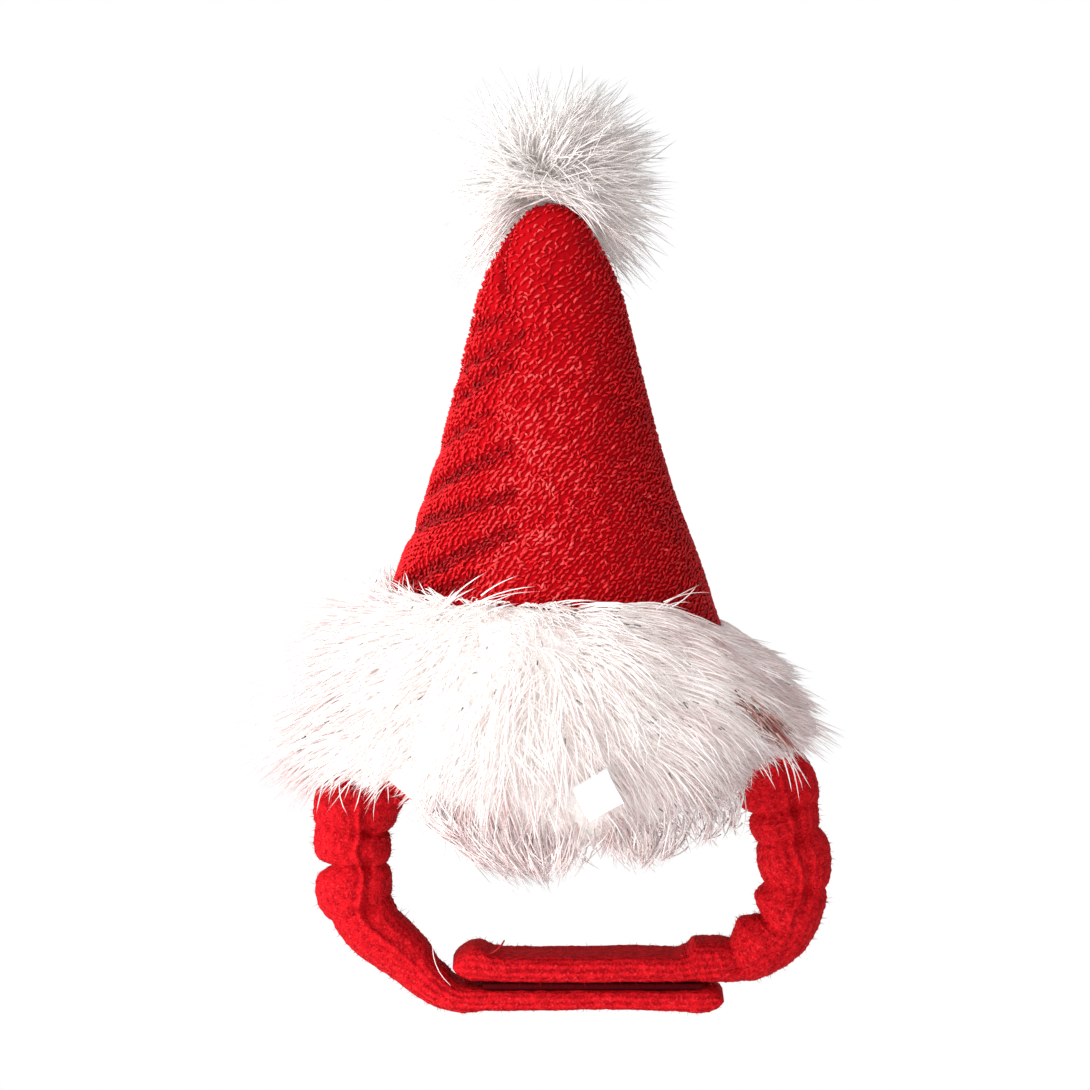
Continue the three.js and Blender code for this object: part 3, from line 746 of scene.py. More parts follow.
# Short pile laid over the top of the core at the right and the back
def growCollar(name):
    chance = np.random.default_rng(trim["seed"] + 2)
    count = trim["collar"]
    azimuth = chance.uniform(1.12, 4.9, count)
    start = chance.uniform(51, 58, count)
    drop = chance.uniform(8, 16, count)
    drift = chance.normal(0, 0.09, count)
    coreRows = np.array(trim["core"], float)[::-1]

    def onCore(az, height, out):
        proud = np.interp(height, coreRows[:, 0], coreRows[:, 1])
        return trimPoint(az, coneReach(height) + proud + out, height, coreSlump(az))

    root = onCore(azimuth, start, -0.8)
    bend = onCore(azimuth + 0.4 * drift, start - 0.35 * drop + chance.uniform(0, 3, count), 2.2)
    tip = onCore(azimuth + drift, start - drop, chance.uniform(1.2, 3.6, count))
    taper = np.array([1, 0.85, 0.65, 0.4])
    thick = trim["thick"] * chance.choice(trim["thicks"][:3], count)[:, None] * taper
    tone = np.clip(chance.normal(0.6, 0.26, count), 0, 1)
    # tint grows towards the right, as painted shade
    kind = np.clip(chance.normal(0.22, 0.16, count) + 0.2 * np.sin(azimuth), 0, 1)
    return pileMesh(name, bent(root, bend, tip, 4), thick, anyWay(chance, count), tone, kind)


finishPiece(growCollar("furCollar"), whiteFur, "white_fur")
for furName, furCounts in trim["strands"].items():
    for step, (layer, shape) in enumerate(trim["layers"].items()):
        pile = growTrim(
            furName + layer, furCounts[step], *shape, trim["seed"] + step, furName == "furBack")
        finishPiece(pile, whiteFur, "white_fur")


# Short dark glints in the pile, and dark red strands painted as the shade in a pocket above the right strap
tinsel = {"count": 420, "length": 1.9, "thick": 0.24, "pocket": 90, "pocketThick": 0.3, "seed": 27}


def layTinsel(name):
    chance = np.random.default_rng(tinsel["seed"])
    paths = trimStrands(tinsel["count"], 9, 0.75, 1.0, chance)[0]
    paths = paths[keepStrands(paths)]
    count = len(paths)
    pick = chance.integers(3, 7, count)
    spot = paths[np.arange(count), pick]
    way = unit(paths[np.arange(count), pick + 1] - spot)
    spot = spot + unit(spot * np.array([1, 1, 0])) * chance.uniform(0.3, 2.5, (count, 1))
    half = way * tinsel["length"] / 2 * chance.uniform(0.5, 1.2, (count, 1))
    thick = np.full((count, 3), tinsel["thick"]) * chance.uniform(0.6, 1.1, (count, 1))
    rods = np.stack([spot - half, spot, spot + half], 1)
    lift = anyWay(chance, count)
    return strandMesh(name, rods * mm, thick * mm, lift, 3, False, chance.random(count), np.zeros(count))


# Painted shade: dark red strands where the pile shades a gap above the right strap
def fillShadePocket(name):
    chance = np.random.default_rng(tinsel["seed"] + 1)
    count = tinsel["pocket"]
    along = chance.random(count)
    start = np.stack([51 + 10 * along, chance.uniform(-37, -31, count), 35 - 8 * along], 1)
    start = start + chance.normal(0, 1.3, (count, 3))
    end = start + inBox(chance, count, (4, 9), (1, 4), (-9, -5))
    middle = (start + end) / 2 + chance.normal(0, 0.5, (count, 3))
    taper = np.array([1, 0.9, 0.7, 0.4])
    paths = bent(start, middle, end, len(taper))
    return mixedPile(name, chance, paths, tinsel["pocketThick"], (0.7, 1.4), taper, (0, 1), (0, 0))


darkGlint = tonePaint(
    "darkGlint", (0.1, 0.1, 0.1, 1), (0.5, 0.49, 0.48, 1),
    Roughness=0.25, Metallic=0.5, Specular_IOR_Level=0.5)
finishPiece(layTinsel("furTinsel"), darkGlint, "white_fur")
deepShade = tonePaint(
    "deepShade", (0.34, 0.08, 0.07, 1), (0.72, 0.5, 0.46, 1), Roughness=0.8, Specular_IOR_Level=0.1)
finishPiece(fillShadePocket("furShadePocket"), deepShade, "white_fur")


# Wisps that hang over the tops of the straps, and tufts that stand on the cone
wisps = {"left": 18, "right": 11, "thick": 0.24, "rings": 6, "seed": 29,
         "tufts": [  # x, y and z of the root, x, y and z of the tip, strands
             (-38.4, -27, 53, -42.6, -12, 66, 10), (-33, -33, 55, -22.4, -36, 65, 9),
             (-21, -39, 60, -6.4, -41, 65, 6), (29, -34, 61, 45, -16, 61.5, 4)]}


def hangWisps(name):
    chance = np.random.default_rng(wisps["seed"])
    count = wisps["left"] + wisps["right"]
    onLeft = np.arange(count) < wisps["left"]
    x = np.where(onLeft, chance.uniform(-62, -42, count), chance.uniform(52, 66, count))
    top = np.where(onLeft, chance.uniform(13, 17, count), chance.uniform(16, 20, count))
    fall = chance.uniform(6, 17, count)
    start = np.stack([x, chance.uniform(-24, -16, count), top], 1)
    drift = np.where(onLeft, chance.normal(-0.5, 4, count), chance.uniform(0, 9, count))
    end = start + np.stack([drift, chance.uniform(-3, 3, count), -fall], 1)
    bow = np.stack([chance.normal(0, 1.4, count), chance.uniform(-4, -1, count), 0 * x], 1)
    paths = bent(start, (start + end) / 2 + bow, end, wisps["rings"])
    taper = np.linspace(1, 0.4, wisps["rings"])
    return mixedPile(name, chance, paths, wisps["thick"], (0.7, 1.3), taper, (0.3, 1), (0, 0.4))


def raiseTufts(name):
    chance = np.random.default_rng(wisps["seed"] + 1)
    rows = np.repeat(np.array(wisps["tufts"], float), [row[-1] for row in wisps["tufts"]], axis=0)
    count = len(rows)
    start = rows[:, :3] + chance.normal(0, 1.8, (count, 3))
    run = (rows[:, 3:6] - rows[:, :3]) * chance.uniform(0.5, 1.1, (count, 1))
    end = start + run + chance.normal(0, 2, (count, 3))
    bow = np.stack([chance.normal(0, 1, count), chance.uniform(-3, -1, count), np.full(count, 2.0)], 1)
    paths = bent(start, start + 0.5 * run + bow, end, wisps["rings"])
    taper = np.linspace(1, 0.35, wisps["rings"])
    return mixedPile(name, chance, paths, wisps["thick"], (0.7, 1.5), taper, (0.4, 1), (0, 0.25))


finishPiece(hangWisps("furWisps"), whiteFur, "white_fur")
finishPiece(raiseTufts("furTufts"), whiteFur, "white_fur")


# Locks that hang at the front in two lobes; a grey copy of some of them is painted shade in the fringe
lobes = {
    "locks": [  # x and z of the roots, x and z of the tips, strands
        (-33, 7, -22, -2.5, 35), (-29, 5, -15, -8, 45), (-23, 3, -9, -10.4, 50), (-14, 2, -5, -11.6, 50),
        (-5, 1, -1, -11.6, 45), (4, 0, 2, -10.6, 40), (10, 0, 5, -8, 30), (20, 0, 21, -6.8, 40),
        (27, 0, 25, -8.2, 45), (35, 1, 31, -6.6, 40), (44, 3, 42, -3.2, 30), (51, 5, 50, -0.5, 20)],
    "reach": 66, "thick": 0.25, "taper": [1, 0.9, 0.8, 0.6, 0.3], "darkShare": 0.2, "seed": 37,
}


def hangLobes(name, share, seed):
    chance = np.random.default_rng(seed)
    rows = np.array(lobes["locks"], float)
    rows = np.repeat(rows, (rows[:, 4] * share).astype(int), axis=0)
    count = len(rows)
    start = rows[:, :2] + chance.normal(0, 2.6, (count, 2))
    end = rows[:, 2:4] + chance.normal(0, 1.7, (count, 2))
    bend = start + (end - start) * [0.25, 0.55] + chance.normal(0, 0.8, (count, 2))

    def atFront(flat, least, most):
        reach = lobes["reach"] + chance.uniform(least, most, count)
        y = -cone["depthRatio"] * np.sqrt(np.maximum(reach ** 2 - flat[:, 0] ** 2, 1))
        return np.stack([flat[:, 0], y, flat[:, 1]], 1)

    paths = bent(atFront(start, -3, 3), atFront(bend, 3, 7), atFront(end, 0, 6), len(lobes["taper"]))
    paths = paths[keepStrands(paths)]
    # the locks draw a strong tint, painted shade of the hanging fringe
    return mixedPile(
        name, chance, paths, lobes["thick"], (0.6, 1.4), np.array(lobes["taper"]), (0.1, 0.8), (0.15, 0.8))


# The grey locks are painted shade in the hanging fringe
greyShadePile = tonePaint(
    "greyShadePile", (0.42, 0.33, 0.33, 1), (0.84, 0.72, 0.72, 1), Roughness=0.5, Specular_IOR_Level=0.3)
finishPiece(hangLobes("furLobes", 1, lobes["seed"]), whiteFur, "white_fur")
finishPiece(hangLobes("furLobesShade", lobes["darkShare"], lobes["seed"] + 1), greyShadePile, "white_fur")


# Pompom, behind the tip
pompom = {
    "middle": (-1.8, 22.0, 171.0), "radius": 35, "head": 11, "headSides": 40, "headRings": 28,
    "strands": 6200, "clumps": 240, "rings": 5, "thick": 0.27, "thicks": [0.65, 0.9, 1.2, 1.6], "seed": 31,
    "laid": 110,  # strands round the tip of the cone, from, over and to a box
    "laidFrom": [(-15, -5), (2, 12), (169, 176)], "laidOver": [(-4, 6), (-5, 4), (171.5, 176)],
    "laidTo": [(9, 19), (0, 12), (163, 173)],
}


def pompomHeadPlace(along, angle, reach):
    tip = np.pi * np.clip(along, 0.004, 0.996)
    radius = pompom["head"] * (1 + 0.06 * np.sin(5 * angle + 7 * tip))
    flat = radius * np.sin(tip) * reach
    middle = np.array(pompom["middle"])
    return (middle + np.stack([flat * np.cos(angle), flat * np.sin(angle), -radius * np.cos(tip)], -1)) * mm


pompomHead = ringTube("pompomHead", pompom["headSides"], pompom["headRings"], pompomHeadPlace, True)
finishPiece(pompomHead, woolCore, "white_fur", "pompom")


def pompomStrands(chance):
    count = pompom["strands"]
    clumps = pompom["clumps"]
    clumpWay = anyWay(chance, clumps)
    clumpLength = chance.normal(1, 0.08, clumps)
    own = chance.integers(0, clumps, count)
    rootWay = unit(clumpWay[own] + chance.normal(0, 0.24, (count, 3)))
    tipWay = unit(clumpWay[own] + chance.normal(0, 0.11, (count, 3)))
    length = pompom["radius"] * np.clip(clumpLength[own], 0.8, 1.12) * chance.uniform(0.6, 1.04, count)
    middle = np.array(pompom["middle"])
    root = middle + rootWay * (0.8 * pompom["head"])
    bend = middle + unit(rootWay + tipWay) * (0.62 * length)[:, None] + chance.normal(0, 0.9, (count, 3))
    tip = middle + tipWay * length[:, None]
    flat = np.hypot(tipWay[:, 0], tipWay[:, 1])
    tip[:, :2] += tipWay[:, :2] * 2.2
    tip[:, 2] -= 3.2 * flat * length / pompom["radius"]
    return bent(root, bend, tip, pompom["rings"])


def growPompom(name):
    chance = np.random.default_rng(pompom["seed"])
    paths = pompomStrands(chance)
    height = paths[..., 2]
    reach = np.interp(-height, -coneLine[:, 0], coneLine[:, 1])
    lean = conePoint(np.zeros_like(height), 0 * height, height)[..., 1]
    beside = np.abs(paths[..., 0]) < reach + 1.6
    infront = paths[..., 1] < lean + reach * cone["depthRatio"] + 1.0
    blocked = (beside & infront & (height < cone["outline"][0][0] + 1.5)).any(axis=1)
    laid = [inBox(chance, pompom["laid"], *pompom[way]) for way in ("laidFrom", "laidOver", "laidTo")]
    paths = np.concatenate([paths[~blocked], bent(*laid, pompom["rings"])])
    count = len(paths)
    taper = 1 - 0.55 * np.linspace(0, 1, pompom["rings"])
    thick = pompom["thick"] * chance.choice(pompom["thicks"], count)[:, None] * taper[None]
    lift = anyWay(chance, count)
    # Painted light and shade: strands towards the left are paler and less tinted, those to the right darker
    # and more tinted
    toLeft = (pompom["middle"][0] - paths[:, -1, 0]) / pompom["radius"]
    tone = np.clip(chance.normal(0.68, 0.26, count) + 0.45 * toLeft, 0, 1)
    kind = np.clip(chance.normal(0.04, 0.05, count) - 0.12 * toLeft, 0, 1)
    return pileMesh(name, paths, thick, lift, tone, kind)


finishPiece(growPompom("pompomFur"), pompomWhite, "white_fur")


# Chin strap: two gathered casings that end in flat tabs
strap = {
    "width": 22, "sides": 96, "perRow": 10, "ribs": 26, "inset": 0.1, "fill": 0.55,
    "roundEnd": 0.9, "endLeast": 0.12, "gatherFull": 0.3, "ridgeAt": 0.16, "ridgeSway": 0.08,
    "crease": 0.7, "dimple": 2.2, "frill": 0.18, "deepest": -1.6,
}
leftStrap = [  # x, z, inner, outer, share of the width, corner, groove
    (-45, 42, 2, 2, 0.95, 4, 0), (-50.2, 24, 2.4, 2.2, 0.95, 3.4, 0),
    (-51.2, 14, 4.6, 3.4, 0.93, 2.8, 0), (-52, 10, 11, 8.6, 0.93, 2.6, 0.1),
    (-53, 5.6, 13.6, 10.4, 0.96, 2.3, 0.15), (-54.6, -2, 12.2, 12, 1, 2.1, 0.3),
    (-55.6, -8, 9.6, 10.8, 0.8, 2.1, 0.3), (-55.8, -13, 11, 10.8, 0.98, 2.1, 0.3),
    (-53.8, -18.6, 7.6, 6.8, 0.76, 2.1, 0.3), (-55.2, -25.2, 10.7, 11.2, 1, 2.1, 0.3),
    (-54.2, -31.5, 10.2, 8.2, 0.87, 2.1, 0.25), (-49.6, -38.2, 9.2, 7.8, 0.98, 2.2, 0.2),
    (-41.2, -45.2, 8, 6.8, 0.93, 2.4, 0.1), (-33, -51.8, 5, 6.2, 0.98, 2.8, 0),
    (-26, -55.6, 3.4, 4.8, 1, 3.4, 0.05), (-16, -56.1, 2.9, 3.3, 1, 5, 0),
    (0, -56.2, 2.9, 3.1, 1, 5, 0.04), (16, -56.2, 3, 2.8, 1, 5, 0),
    (34, -56.3, 2.9, 3.2, 1, 5, 0.04), (42, -56.4, 3.6, 3.9, 1, 4, 0.05),
    (49, -56.4, 3.9, 3.9, 0.96, 3, 0)]
rightStrap = [
    (45.4, 42, 2, 2, 0.95, 4, 0), (51.2, 24, 2.4, 2.2, 0.95, 3.4, 0),
    (55, 15.5, 4, 3.2, 0.93, 2.8, 0), (60.6, 10.4, 8.8, 8.6, 0.95, 2.3, 0.2),
    (64.2, 3.4, 11.8, 11.2, 1, 2.1, 0.35), (66, -2.2, 8.9, 9.7, 0.82, 2.1, 0.35),
    (66.2, -6.2, 10.2, 9.8, 0.96, 2.1, 0.35), (67.2, -10.4, 8.8, 9, 0.82, 2.1, 0.35),
    (68.6, -16.6, 10.4, 10.8, 1, 2.1, 0.35), (68.8, -24.6, 8, 9.2, 0.8, 2.1, 0.35),
    (67.4, -30.4, 10.2, 10.2, 0.98, 2.1, 0.3), (65.2, -36.4, 6.2, 9.6, 0.84, 2.1, 0.1),
    (62.4, -39.2, 7.4, 9.6, 0.92, 2.2, 0.1), (58.4, -42, 9.2, 9.2, 0.98, 2.2, 0.1),
    (55.2, -43.8, 7.2, 8.6, 0.96, 2.3, 0.1), (52.2, -45, 5, 7.2, 0.87, 2.5, 0.15),
    (46.6, -46.4, 6.6, 5.4, 0.98, 3, 0.1), (41.8, -47, 7, 4.6, 0.98, 3.2, 0.1),
    (38.6, -47.2, 4.6, 4.1, 0.98, 3.6, 0.05), (35.4, -47.3, 3.6, 4, 1, 4, 0.05),
    (24, -47.4, 3.9, 3.8, 1, 5, 0), (8, -47.4, 3.5, 3.9, 1, 5.5, 0.04),
    (-10, -47.4, 3.6, 3.8, 1, 5, 0), (-15.5, -47.3, 4, 3.8, 1, 4.4, 0.05),
    (-20.5, -47.1, 5.8, 4, 1, 4, 0.08), (-27.4, -47, 5, 3.8, 0.96, 3, 0)]


# A point on a strap, at a row of its table, an angle round its section and a reach of 1 on the skin
def strapPoint(rows, at, angle, reach, inset=0.0):
    rows = np.array(rows, float)
    spine = through(rows[:, :2], at)
    ahead = unit(through(rows[:, :2], at + 0.9) - through(rows[:, :2], at - 0.9))
    side = np.sign(rows[0, 0])
    inward = np.stack([side * ahead[..., 1], -side * ahead[..., 0]], -1)  # front x ahead
    index = np.minimum(at.astype(int), len(rows) - 2)
    t = (at - index)[..., None]
    here = rows[index, 2:]
    after = rows[index + 1, 2:]
    rounded = np.where(after > here, (1 - (1 - t) ** 2) ** 0.75, 1 - (1 - t ** 2) ** 0.75)
    soft = np.clip(np.minimum(here[..., 4:], after[..., 4:]) / 0.2, 0, 1)  # puffs are round, notches sharp
    soft = soft * np.array([1, 1, 1, 0, 0])
    inner, outer, deep, corner, groove = np.moveaxis(
        here + (after - here) * (ease(t) * (1 - soft) + rounded * soft), -1, 0)

    def bow(value):
        return np.sign(value) * np.abs(value) ** (2 / corner)

    across = bow(np.cos(angle))
    forward = bow(np.sin(angle))
    gathered = np.clip(groove / strap["gatherFull"], 0, 1)
    ridgeAt = strap["ridgeAt"] + strap["ridgeSway"] * np.sin(at * 2.3)
    rightward = -side * across - ridgeAt  # from the sewn ridge
    ridge = 0.1 * hump(rightward, 0, 0.07) - 0.06 * hump(rightward, -0.16, 0.08)
    pinch = 1 + gathered * (ridge - 0.13 * hump(rightward, 0.2, 0.13))
    pucker = gathered * np.sin(at * 9.5 + 2.5 * np.sin(angle * 2) + np.sin(at * 3.1) * 2)
    pucker = pucker * hump(np.abs(across), 0.3, 0.4) * 0.35
    for row in np.nonzero((rows[:, 4] < 0.9) & (rows[:, 6] > 0.12))[0]:  # the notches
        crease = hump(at - row, 0.2 * np.sin(angle * 3 + row), 0.17)
        dimple = hump(rightward, 0.24, 0.17) * hump(at, row, 0.36)
        pucker = pucker - (strap["crease"] * crease + strap["dimple"] * dimple) * gathered
    last = np.clip((len(rows) - 1 - at) / strap["roundEnd"], 0, 1)
    ending = np.maximum(np.sqrt(1 - (1 - last) ** 2), strap["endLeast"])
    frill = strap["frill"] * np.sin(angle * 9 + at * 7 + 2 * np.sin(at * 5)) * np.sin(at * 19 + angle * 4)
    pucker = pucker + frill
    bulge = np.maximum(pucker, strap["deepest"]) * 0.3 + frill
    wide = (np.where(across > 0, inner, outer) - inset + bulge) * ending
    halfDeep = (strap["width"] / 2 * deep - inset + pucker) * (0.85 + 0.15 * ending)
    forward = halfDeep * pinch * forward * reach * side
    sewn = np.clip(2 - at, 0, 1)
    wallDeep = abs(rows[0, 0]) * cone["depthRatio"]
    curl = abs(rows[0, 0]) * (1 - np.sqrt(1 - np.clip(forward / wallDeep, -1, 1) ** 2)) * sewn
    shift = across * wide * reach + curl
    return np.stack([
        spine[..., 0] + inward[..., 0] * shift, forward, spine[..., 1] + inward[..., 1] * shift], -1)


def makeStrap(name, rows):
    spans = len(rows) - 1
    rings = spans * strap["perRow"] + 1
    fine = np.linspace(0, 2 * np.pi, 361)

    # points stand evenly round each section
    def place(along, angle, reach):
        turned = angle % (2 * np.pi)
        rowOf = np.round(along * (rings - 1))
        for ring in np.unique(rowOf):
            mine = rowOf == ring
            at = np.full_like(fine, ring / (rings - 1) * spans)
            girth = runOf(strapPoint(rows, at, fine, np.ones_like(fine), strap["inset"]))
            turned[mine] = np.interp(turned[mine] / (2 * np.pi) * girth[-1], girth, fine)
        return strapPoint(rows, along * spans, turned, reach, strap["inset"]) * mm

    return ringTube(name, strap["sides"], rings, place, True)


redStrap = Paint("redStrap", Roughness=0.75, Specular_IOR_Level=0.05)
strapPlace = redStrap.place()
strapTurn = redStrap.mark("turn")
strapAngle = redStrap.node("ShaderNodeMath", {"operation": "ARCTAN2"}, {
    0: redStrap.part(strapTurn, 1), 1: redStrap.part(strapTurn, 0)})
strapGrain = redStrap.noise(strapPlace, 1500, 3, 0.6)
strapSoft = redStrap.noise(strapPlace, 520, 2, 0.5)
strapRib = redStrap.node("ShaderNodeMath", {"operation": "SINE"}, {
    0: strapAngle * float(strap["ribs"]) + strapSoft * 1.8})
strapFlat = redStrap.node("ShaderNodeClamp", None, {
    0: (redStrap.part(strapTurn, 2) - 0.6) * 3.0, 1: 0.06, 2: 0.15})  # ribs show on the tabs
strapHeight = strapRib * strapFlat + strapSoft * 0.9 + strapGrain * 1.2 + 0.05
strapShade = redStrap.mix(strapHeight * 1.8 - 1.4, (0.31, 0.001, 0.005, 1), (0.71, 0.008, 0.015, 1))
strapFleck = (strapGrain > 0.58) * 0.05 + (strapGrain > 0.66) * 0.11
redStrap.give("Base Color", redStrap.mix(strapFleck, strapShade, (0.9, 0.18, 0.18, 1)))
redStrap.bump(strapHeight, 0.8, 0.0006)
for strapName, strapRows in (("left", leftStrap), ("right", rightStrap)):
    casing = makeStrap(strapName + "Casing", strapRows)
    finishPiece(casing, redStrap, "red_strap", "strap_" + strapName)


# Loose ends of yarn on the straps, and short fuzz that stands off them
threads = {
    "red": [  # x, y and z of start, bend and end
        (-42, -11, 1, -40, -13, 1, -37.5, -13, 5), (-17.4, -8, -43, -14.6, -9, -42.2, -12.8, -8, -39),
        (-44, -11, 3, -43, -13, 6, -40.5, -12, 5)],
    "white": [(-33, -10.5, -40.2, -32.8, -13, -46.6, -28, -12.2, -51)],
    "redThick": 0.3, "whiteThick": 0.1, "sides": 5, "swell": [0.8, 1, 1, 1, 1, 0.8],
    "frays": 26, "fuzz": 1500, "fuzzLength": 0.9, "fuzzThick": 0.06, "seed": 43,
}


def layThreads(name, rows, thick):
    rows = np.array(rows, float).reshape(-1, 3, 3)
    count = len(rows)
    lift = np.tile([0.0, -1.0, 0.2], (count, 1))
    shape = thick * np.tile(threads["swell"], (count, 1))
    paths = bent(rows[:, 0], rows[:, 1], rows[:, 2], len(threads["swell"])) * mm
    tone = np.linspace(0.2, 0.7, count)
    return strandMesh(name, paths, shape * mm, lift, threads["sides"], False, tone, np.zeros(count))


frayChance = np.random.default_rng(threads["seed"])
frayRoot = inBox(frayChance, threads["frays"], (-62, -40), (-13, -9), (0, 5))
frayRun = np.stack([
    frayChance.normal(0, 1.5, threads["frays"]), frayChance.uniform(-2, 0, threads["frays"]),
    frayChance.uniform(2, 5, threads["frays"])], 1)
frays = np.stack([frayRoot, frayRoot + 0.6 * frayRun + [0.5, -0.8, 0.3], frayRoot + frayRun], 1)
redEnds = np.concatenate([np.array(threads["red"], float).reshape(-1, 3, 3), frays])
finishPiece(layThreads("redEnds", redEnds, threads["redThick"]), redYarn, "red_strap")


def growFuzz(name, rows):
    chance = np.random.default_rng(threads["seed"] + 1)
    count = threads["fuzz"]
    at = chance.uniform(3.5, len(rows) - 1.05, count)
    angle = chance.uniform(0, 2 * np.pi, count)
    root = strapPoint(rows, at, angle, 1.0, 0.2)
    away = unit(strapPoint(rows, at, angle, 1.2) - strapPoint(rows, at, angle, 1.0))
    grown = threads["fuzzLength"] * chance.uniform(0.5, 1.4, (count, 1))
    bend = root + away * grown * 0.6 + chance.normal(0, 0.25, (count, 3))
    tip = bend + away * grown * 0.4 + chance.normal(0, 0.4, (count, 3))
    thick = threads["fuzzThick"] * np.tile([1, 0.9, 0.5], (count, 1))
    lift = anyWay(chance, count)
    tone = np.clip(chance.normal(0.35, 0.2, count), 0, 1)
    return pileMesh(name, bent(root, bend, tip, 3), thick, lift, tone, np.zeros(count))


finishPiece(growFuzz("leftFuzz", leftStrap), redYarn, "red_strap")
finishPiece(growFuzz("rightFuzz", rightStrap), redYarn, "red_strap")
finishPiece(layThreads("whiteEnd", threads["white"], threads["whiteThick"]), whiteFur, "white_fur")


# Fastening between the tabs
patch = {"length": 62, "width": 18, "thick": 1.6, "middle": (12, 0, -52.2), "round": 0.5}
clearSelection()
bpy.ops.mesh.primitive_cube_add(size=1, location=[c * mm for c in patch["middle"]])
patchTape = bpy.context.object
patchTape.name = "patchTape"
patchTape.scale = (patch["length"] * mm, patch["width"] * mm, patch["thick"] * mm)
bpy.ops.object.transform_apply(location=True, rotation=True, scale=True)
applyModifier(patchTape, "BEVEL", width=patch["round"] * mm, segments=3)
smoothShade(patchTape)
darkTape = grainPaint(
    "darkTape", (1400, 3, 0.7), (0.03, 0.001, 0.002, 1), (0.12, 0.002, 0.005, 1), (0.9, 0.0006),
    Roughness=0.95, Specular_IOR_Level=0.05)
finishPiece(patchTape, darkTape, "hook_and_loop", "hook_and_loop_patch")


# Bare woven label, folded over the pile
label = {"width": 10.8, "thick": 0.5, "round": 0.12, "cup": 0.7, "cuts": 15, "steps": 26,
         "footX": 12, "footHeight": 14.6, "rootGap": 2, "tilt": 30,
         "fold": [(0, 0), (9, 1.6), (15, 2), (20.5, -0.2), (22.4, -3.4), (22.8, -6.6)]}
labelLine = through(label["fold"], np.linspace(0, len(label["fold"]) - 1, label["steps"]))
labelRun = runOf(labelLine)
clearSelection()
bpy.ops.mesh.primitive_plane_add(size=1, location=(0, 0, 0))
labelTape = bpy.context.object
labelTape.name = "labelTape"
bpy.ops.object.mode_set(mode="EDIT")
bpy.ops.mesh.subdivide(number_cuts=label["cuts"])
bpy.ops.object.mode_set(mode="OBJECT")
flatLabel = np.array([vertex.co for vertex in labelTape.data.vertices])
labelShare = flatLabel[:, 1] + 0.5
labelOut, labelUp = [np.interp(labelShare * labelRun[-1], labelRun, column) for column in labelLine.T]
labelOut = labelOut + label["cup"] * (flatLabel[:, 0] * 2) ** 2 * labelShare ** 2
labelSide = flatLabel[:, 0] * label["width"]
labelTurn = math.radians(-label["tilt"])
footHeight = np.array([label["footHeight"]], float)
footReach = coneReach(footHeight) + label["rootGap"]
labelFoot = conePoint(np.arcsin(label["footX"] / footReach), footReach, footHeight, 0.0)[0]
labelPoints = np.stack([
    labelFoot[0] + labelSide * math.cos(labelTurn) + labelUp * math.sin(labelTurn),
    labelFoot[1] - labelOut,
    labelFoot[2] - labelSide * math.sin(labelTurn) + labelUp * math.cos(labelTurn)], 1) * mm
labelTape.data.vertices.foreach_set("co", labelPoints.ravel())
labelTape.data.update()
applyModifier(labelTape, "SOLIDIFY", thickness=label["thick"] * mm, offset=0)
applyModifier(labelTape, "BEVEL", width=label["round"] * mm, segments=2, limit_method="ANGLE")
smoothShade(labelTape)
whiteTape = Paint("whiteTape", Roughness=0.5, Specular_IOR_Level=0.4, Sheen_Weight=0.1)
tapePlace = whiteTape.place()
tapeWeave = whiteTape.node("ShaderNodeTexWave", {"bands_direction": "DIAGONAL"}, {
    "Vector": tapePlace, "Scale": 900.0, "Distortion": 0.6}, "Fac")
tapeSoil = whiteTape.noise(tapePlace, 180, 2, 0.5)
whiteTape.give("Base Color", whiteTape.mix(
    tapeSoil * 0.6 + tapeWeave * 0.3, (0.8, 0.79, 0.79, 1), (0.9, 0.9, 0.9, 1)))
whiteTape.bump(tapeWeave, 0.35, 0.0002)
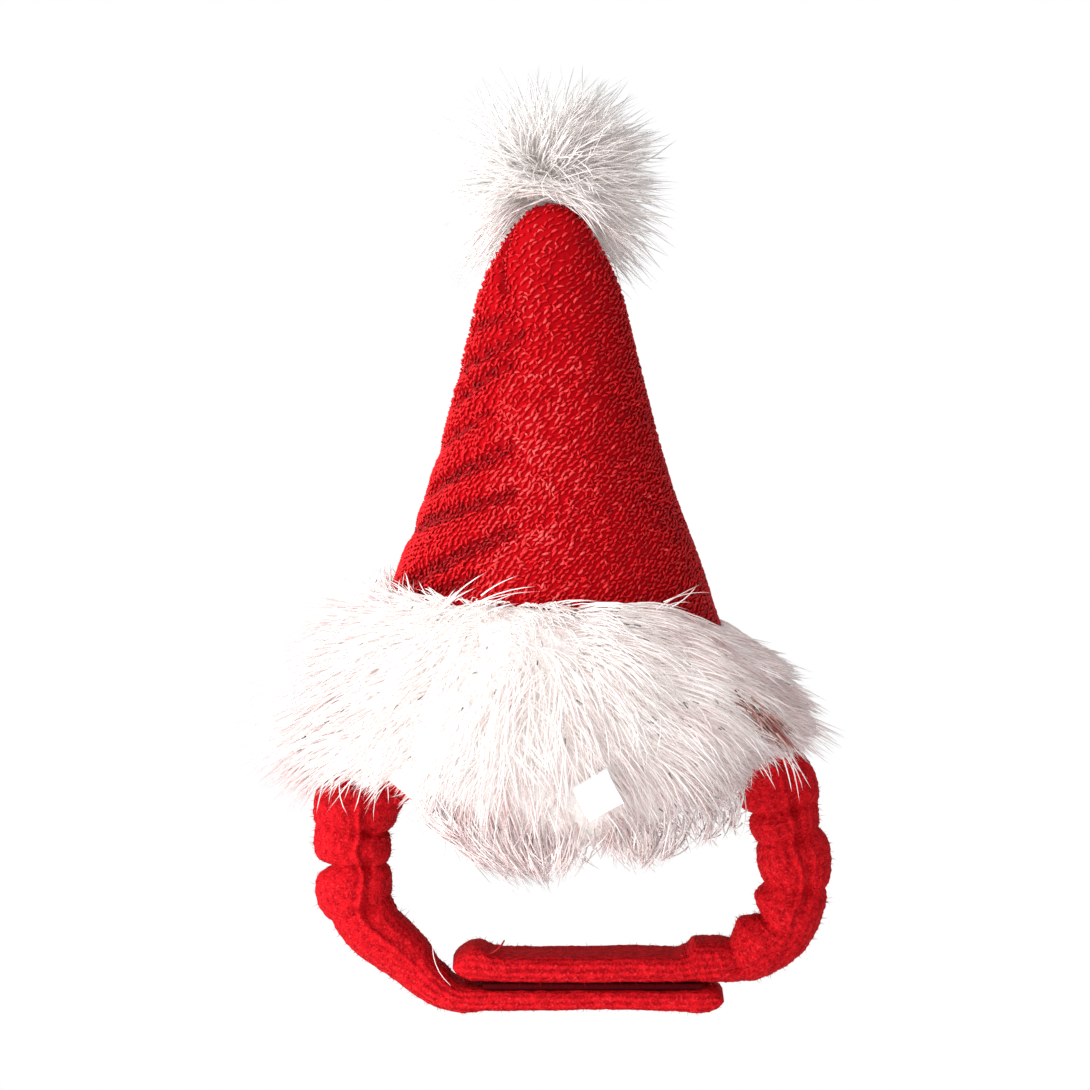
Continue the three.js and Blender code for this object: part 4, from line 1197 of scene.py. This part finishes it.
finishPiece(labelTape, whiteTape, "white_tape", "label")


# Floor and soft light
room = {
    "floor": -0.32, "radius": 0.9, "sides": 96, "ambient": 0.5, "white": 1.0,
    "lightAim": 0.06, "lightAway": 1.3, "lightSize": 0.8,
    "lights": [  # name, azimuth, height, power, colour
        ("keyLight", -70, 5, 16, (1, 1, 0.99)), ("highLight", -40, 35, 7.8, (1, 0.99, 0.98)),
        ("fillLight", 35, 0, 1.5, (1, 0.98, 0.97)), ("lowLight", -16, -15, 8.4, (1, 0.99, 0.98))],
}
clearSelection()
bpy.ops.mesh.primitive_circle_add(
    vertices=room["sides"], radius=room["radius"], fill_type="NGON", location=(0, 0, room["floor"]))
floor = bpy.context.object
floor.name = "floor"
paleFloor = grainPaint(
    "paleFloor", (12, 2, 0.5), (0.93, 0.93, 0.93, 1), (0.96, 0.96, 0.96, 1),
    Roughness=0.9, Specular_IOR_Level=0.1)
floor.data.materials.append(paleFloor.material)

world = bpy.data.worlds.new("studio")
world.use_nodes = True
bpy.context.scene.world = world
worldSky = world.node_tree.nodes["Background"]
worldSky.inputs["Color"].default_value = (1, 1, 1, 1)
worldRay = world.node_tree.nodes.new("ShaderNodeLightPath")
worldMix = world.node_tree.nodes.new("ShaderNodeMix")
worldMix.inputs[2].default_value = room["ambient"]
worldMix.inputs[3].default_value = room["white"]
world.node_tree.links.new(worldRay.outputs["Is Camera Ray"], worldMix.inputs[0])
world.node_tree.links.new(worldMix.outputs[0], worldSky.inputs["Strength"])

for lightName, lightAz, lightHeight, power, colour in room["lights"]:
    a = math.radians(lightAz)
    e = math.radians(lightHeight)
    way = Vector((math.sin(a) * math.cos(e), -math.cos(a) * math.cos(e), math.sin(e)))
    aim = Vector((0, 0, room["lightAim"]))
    bpy.ops.object.light_add(type="AREA", location=aim + way * room["lightAway"])
    light = bpy.context.object
    light.name = lightName
    light.rotation_euler = way.to_track_quat("Z", "Y").to_euler()
    light.data.size = room["lightSize"]
    light.data.energy = power
    light.data.color = colour
print("stage and lights set")
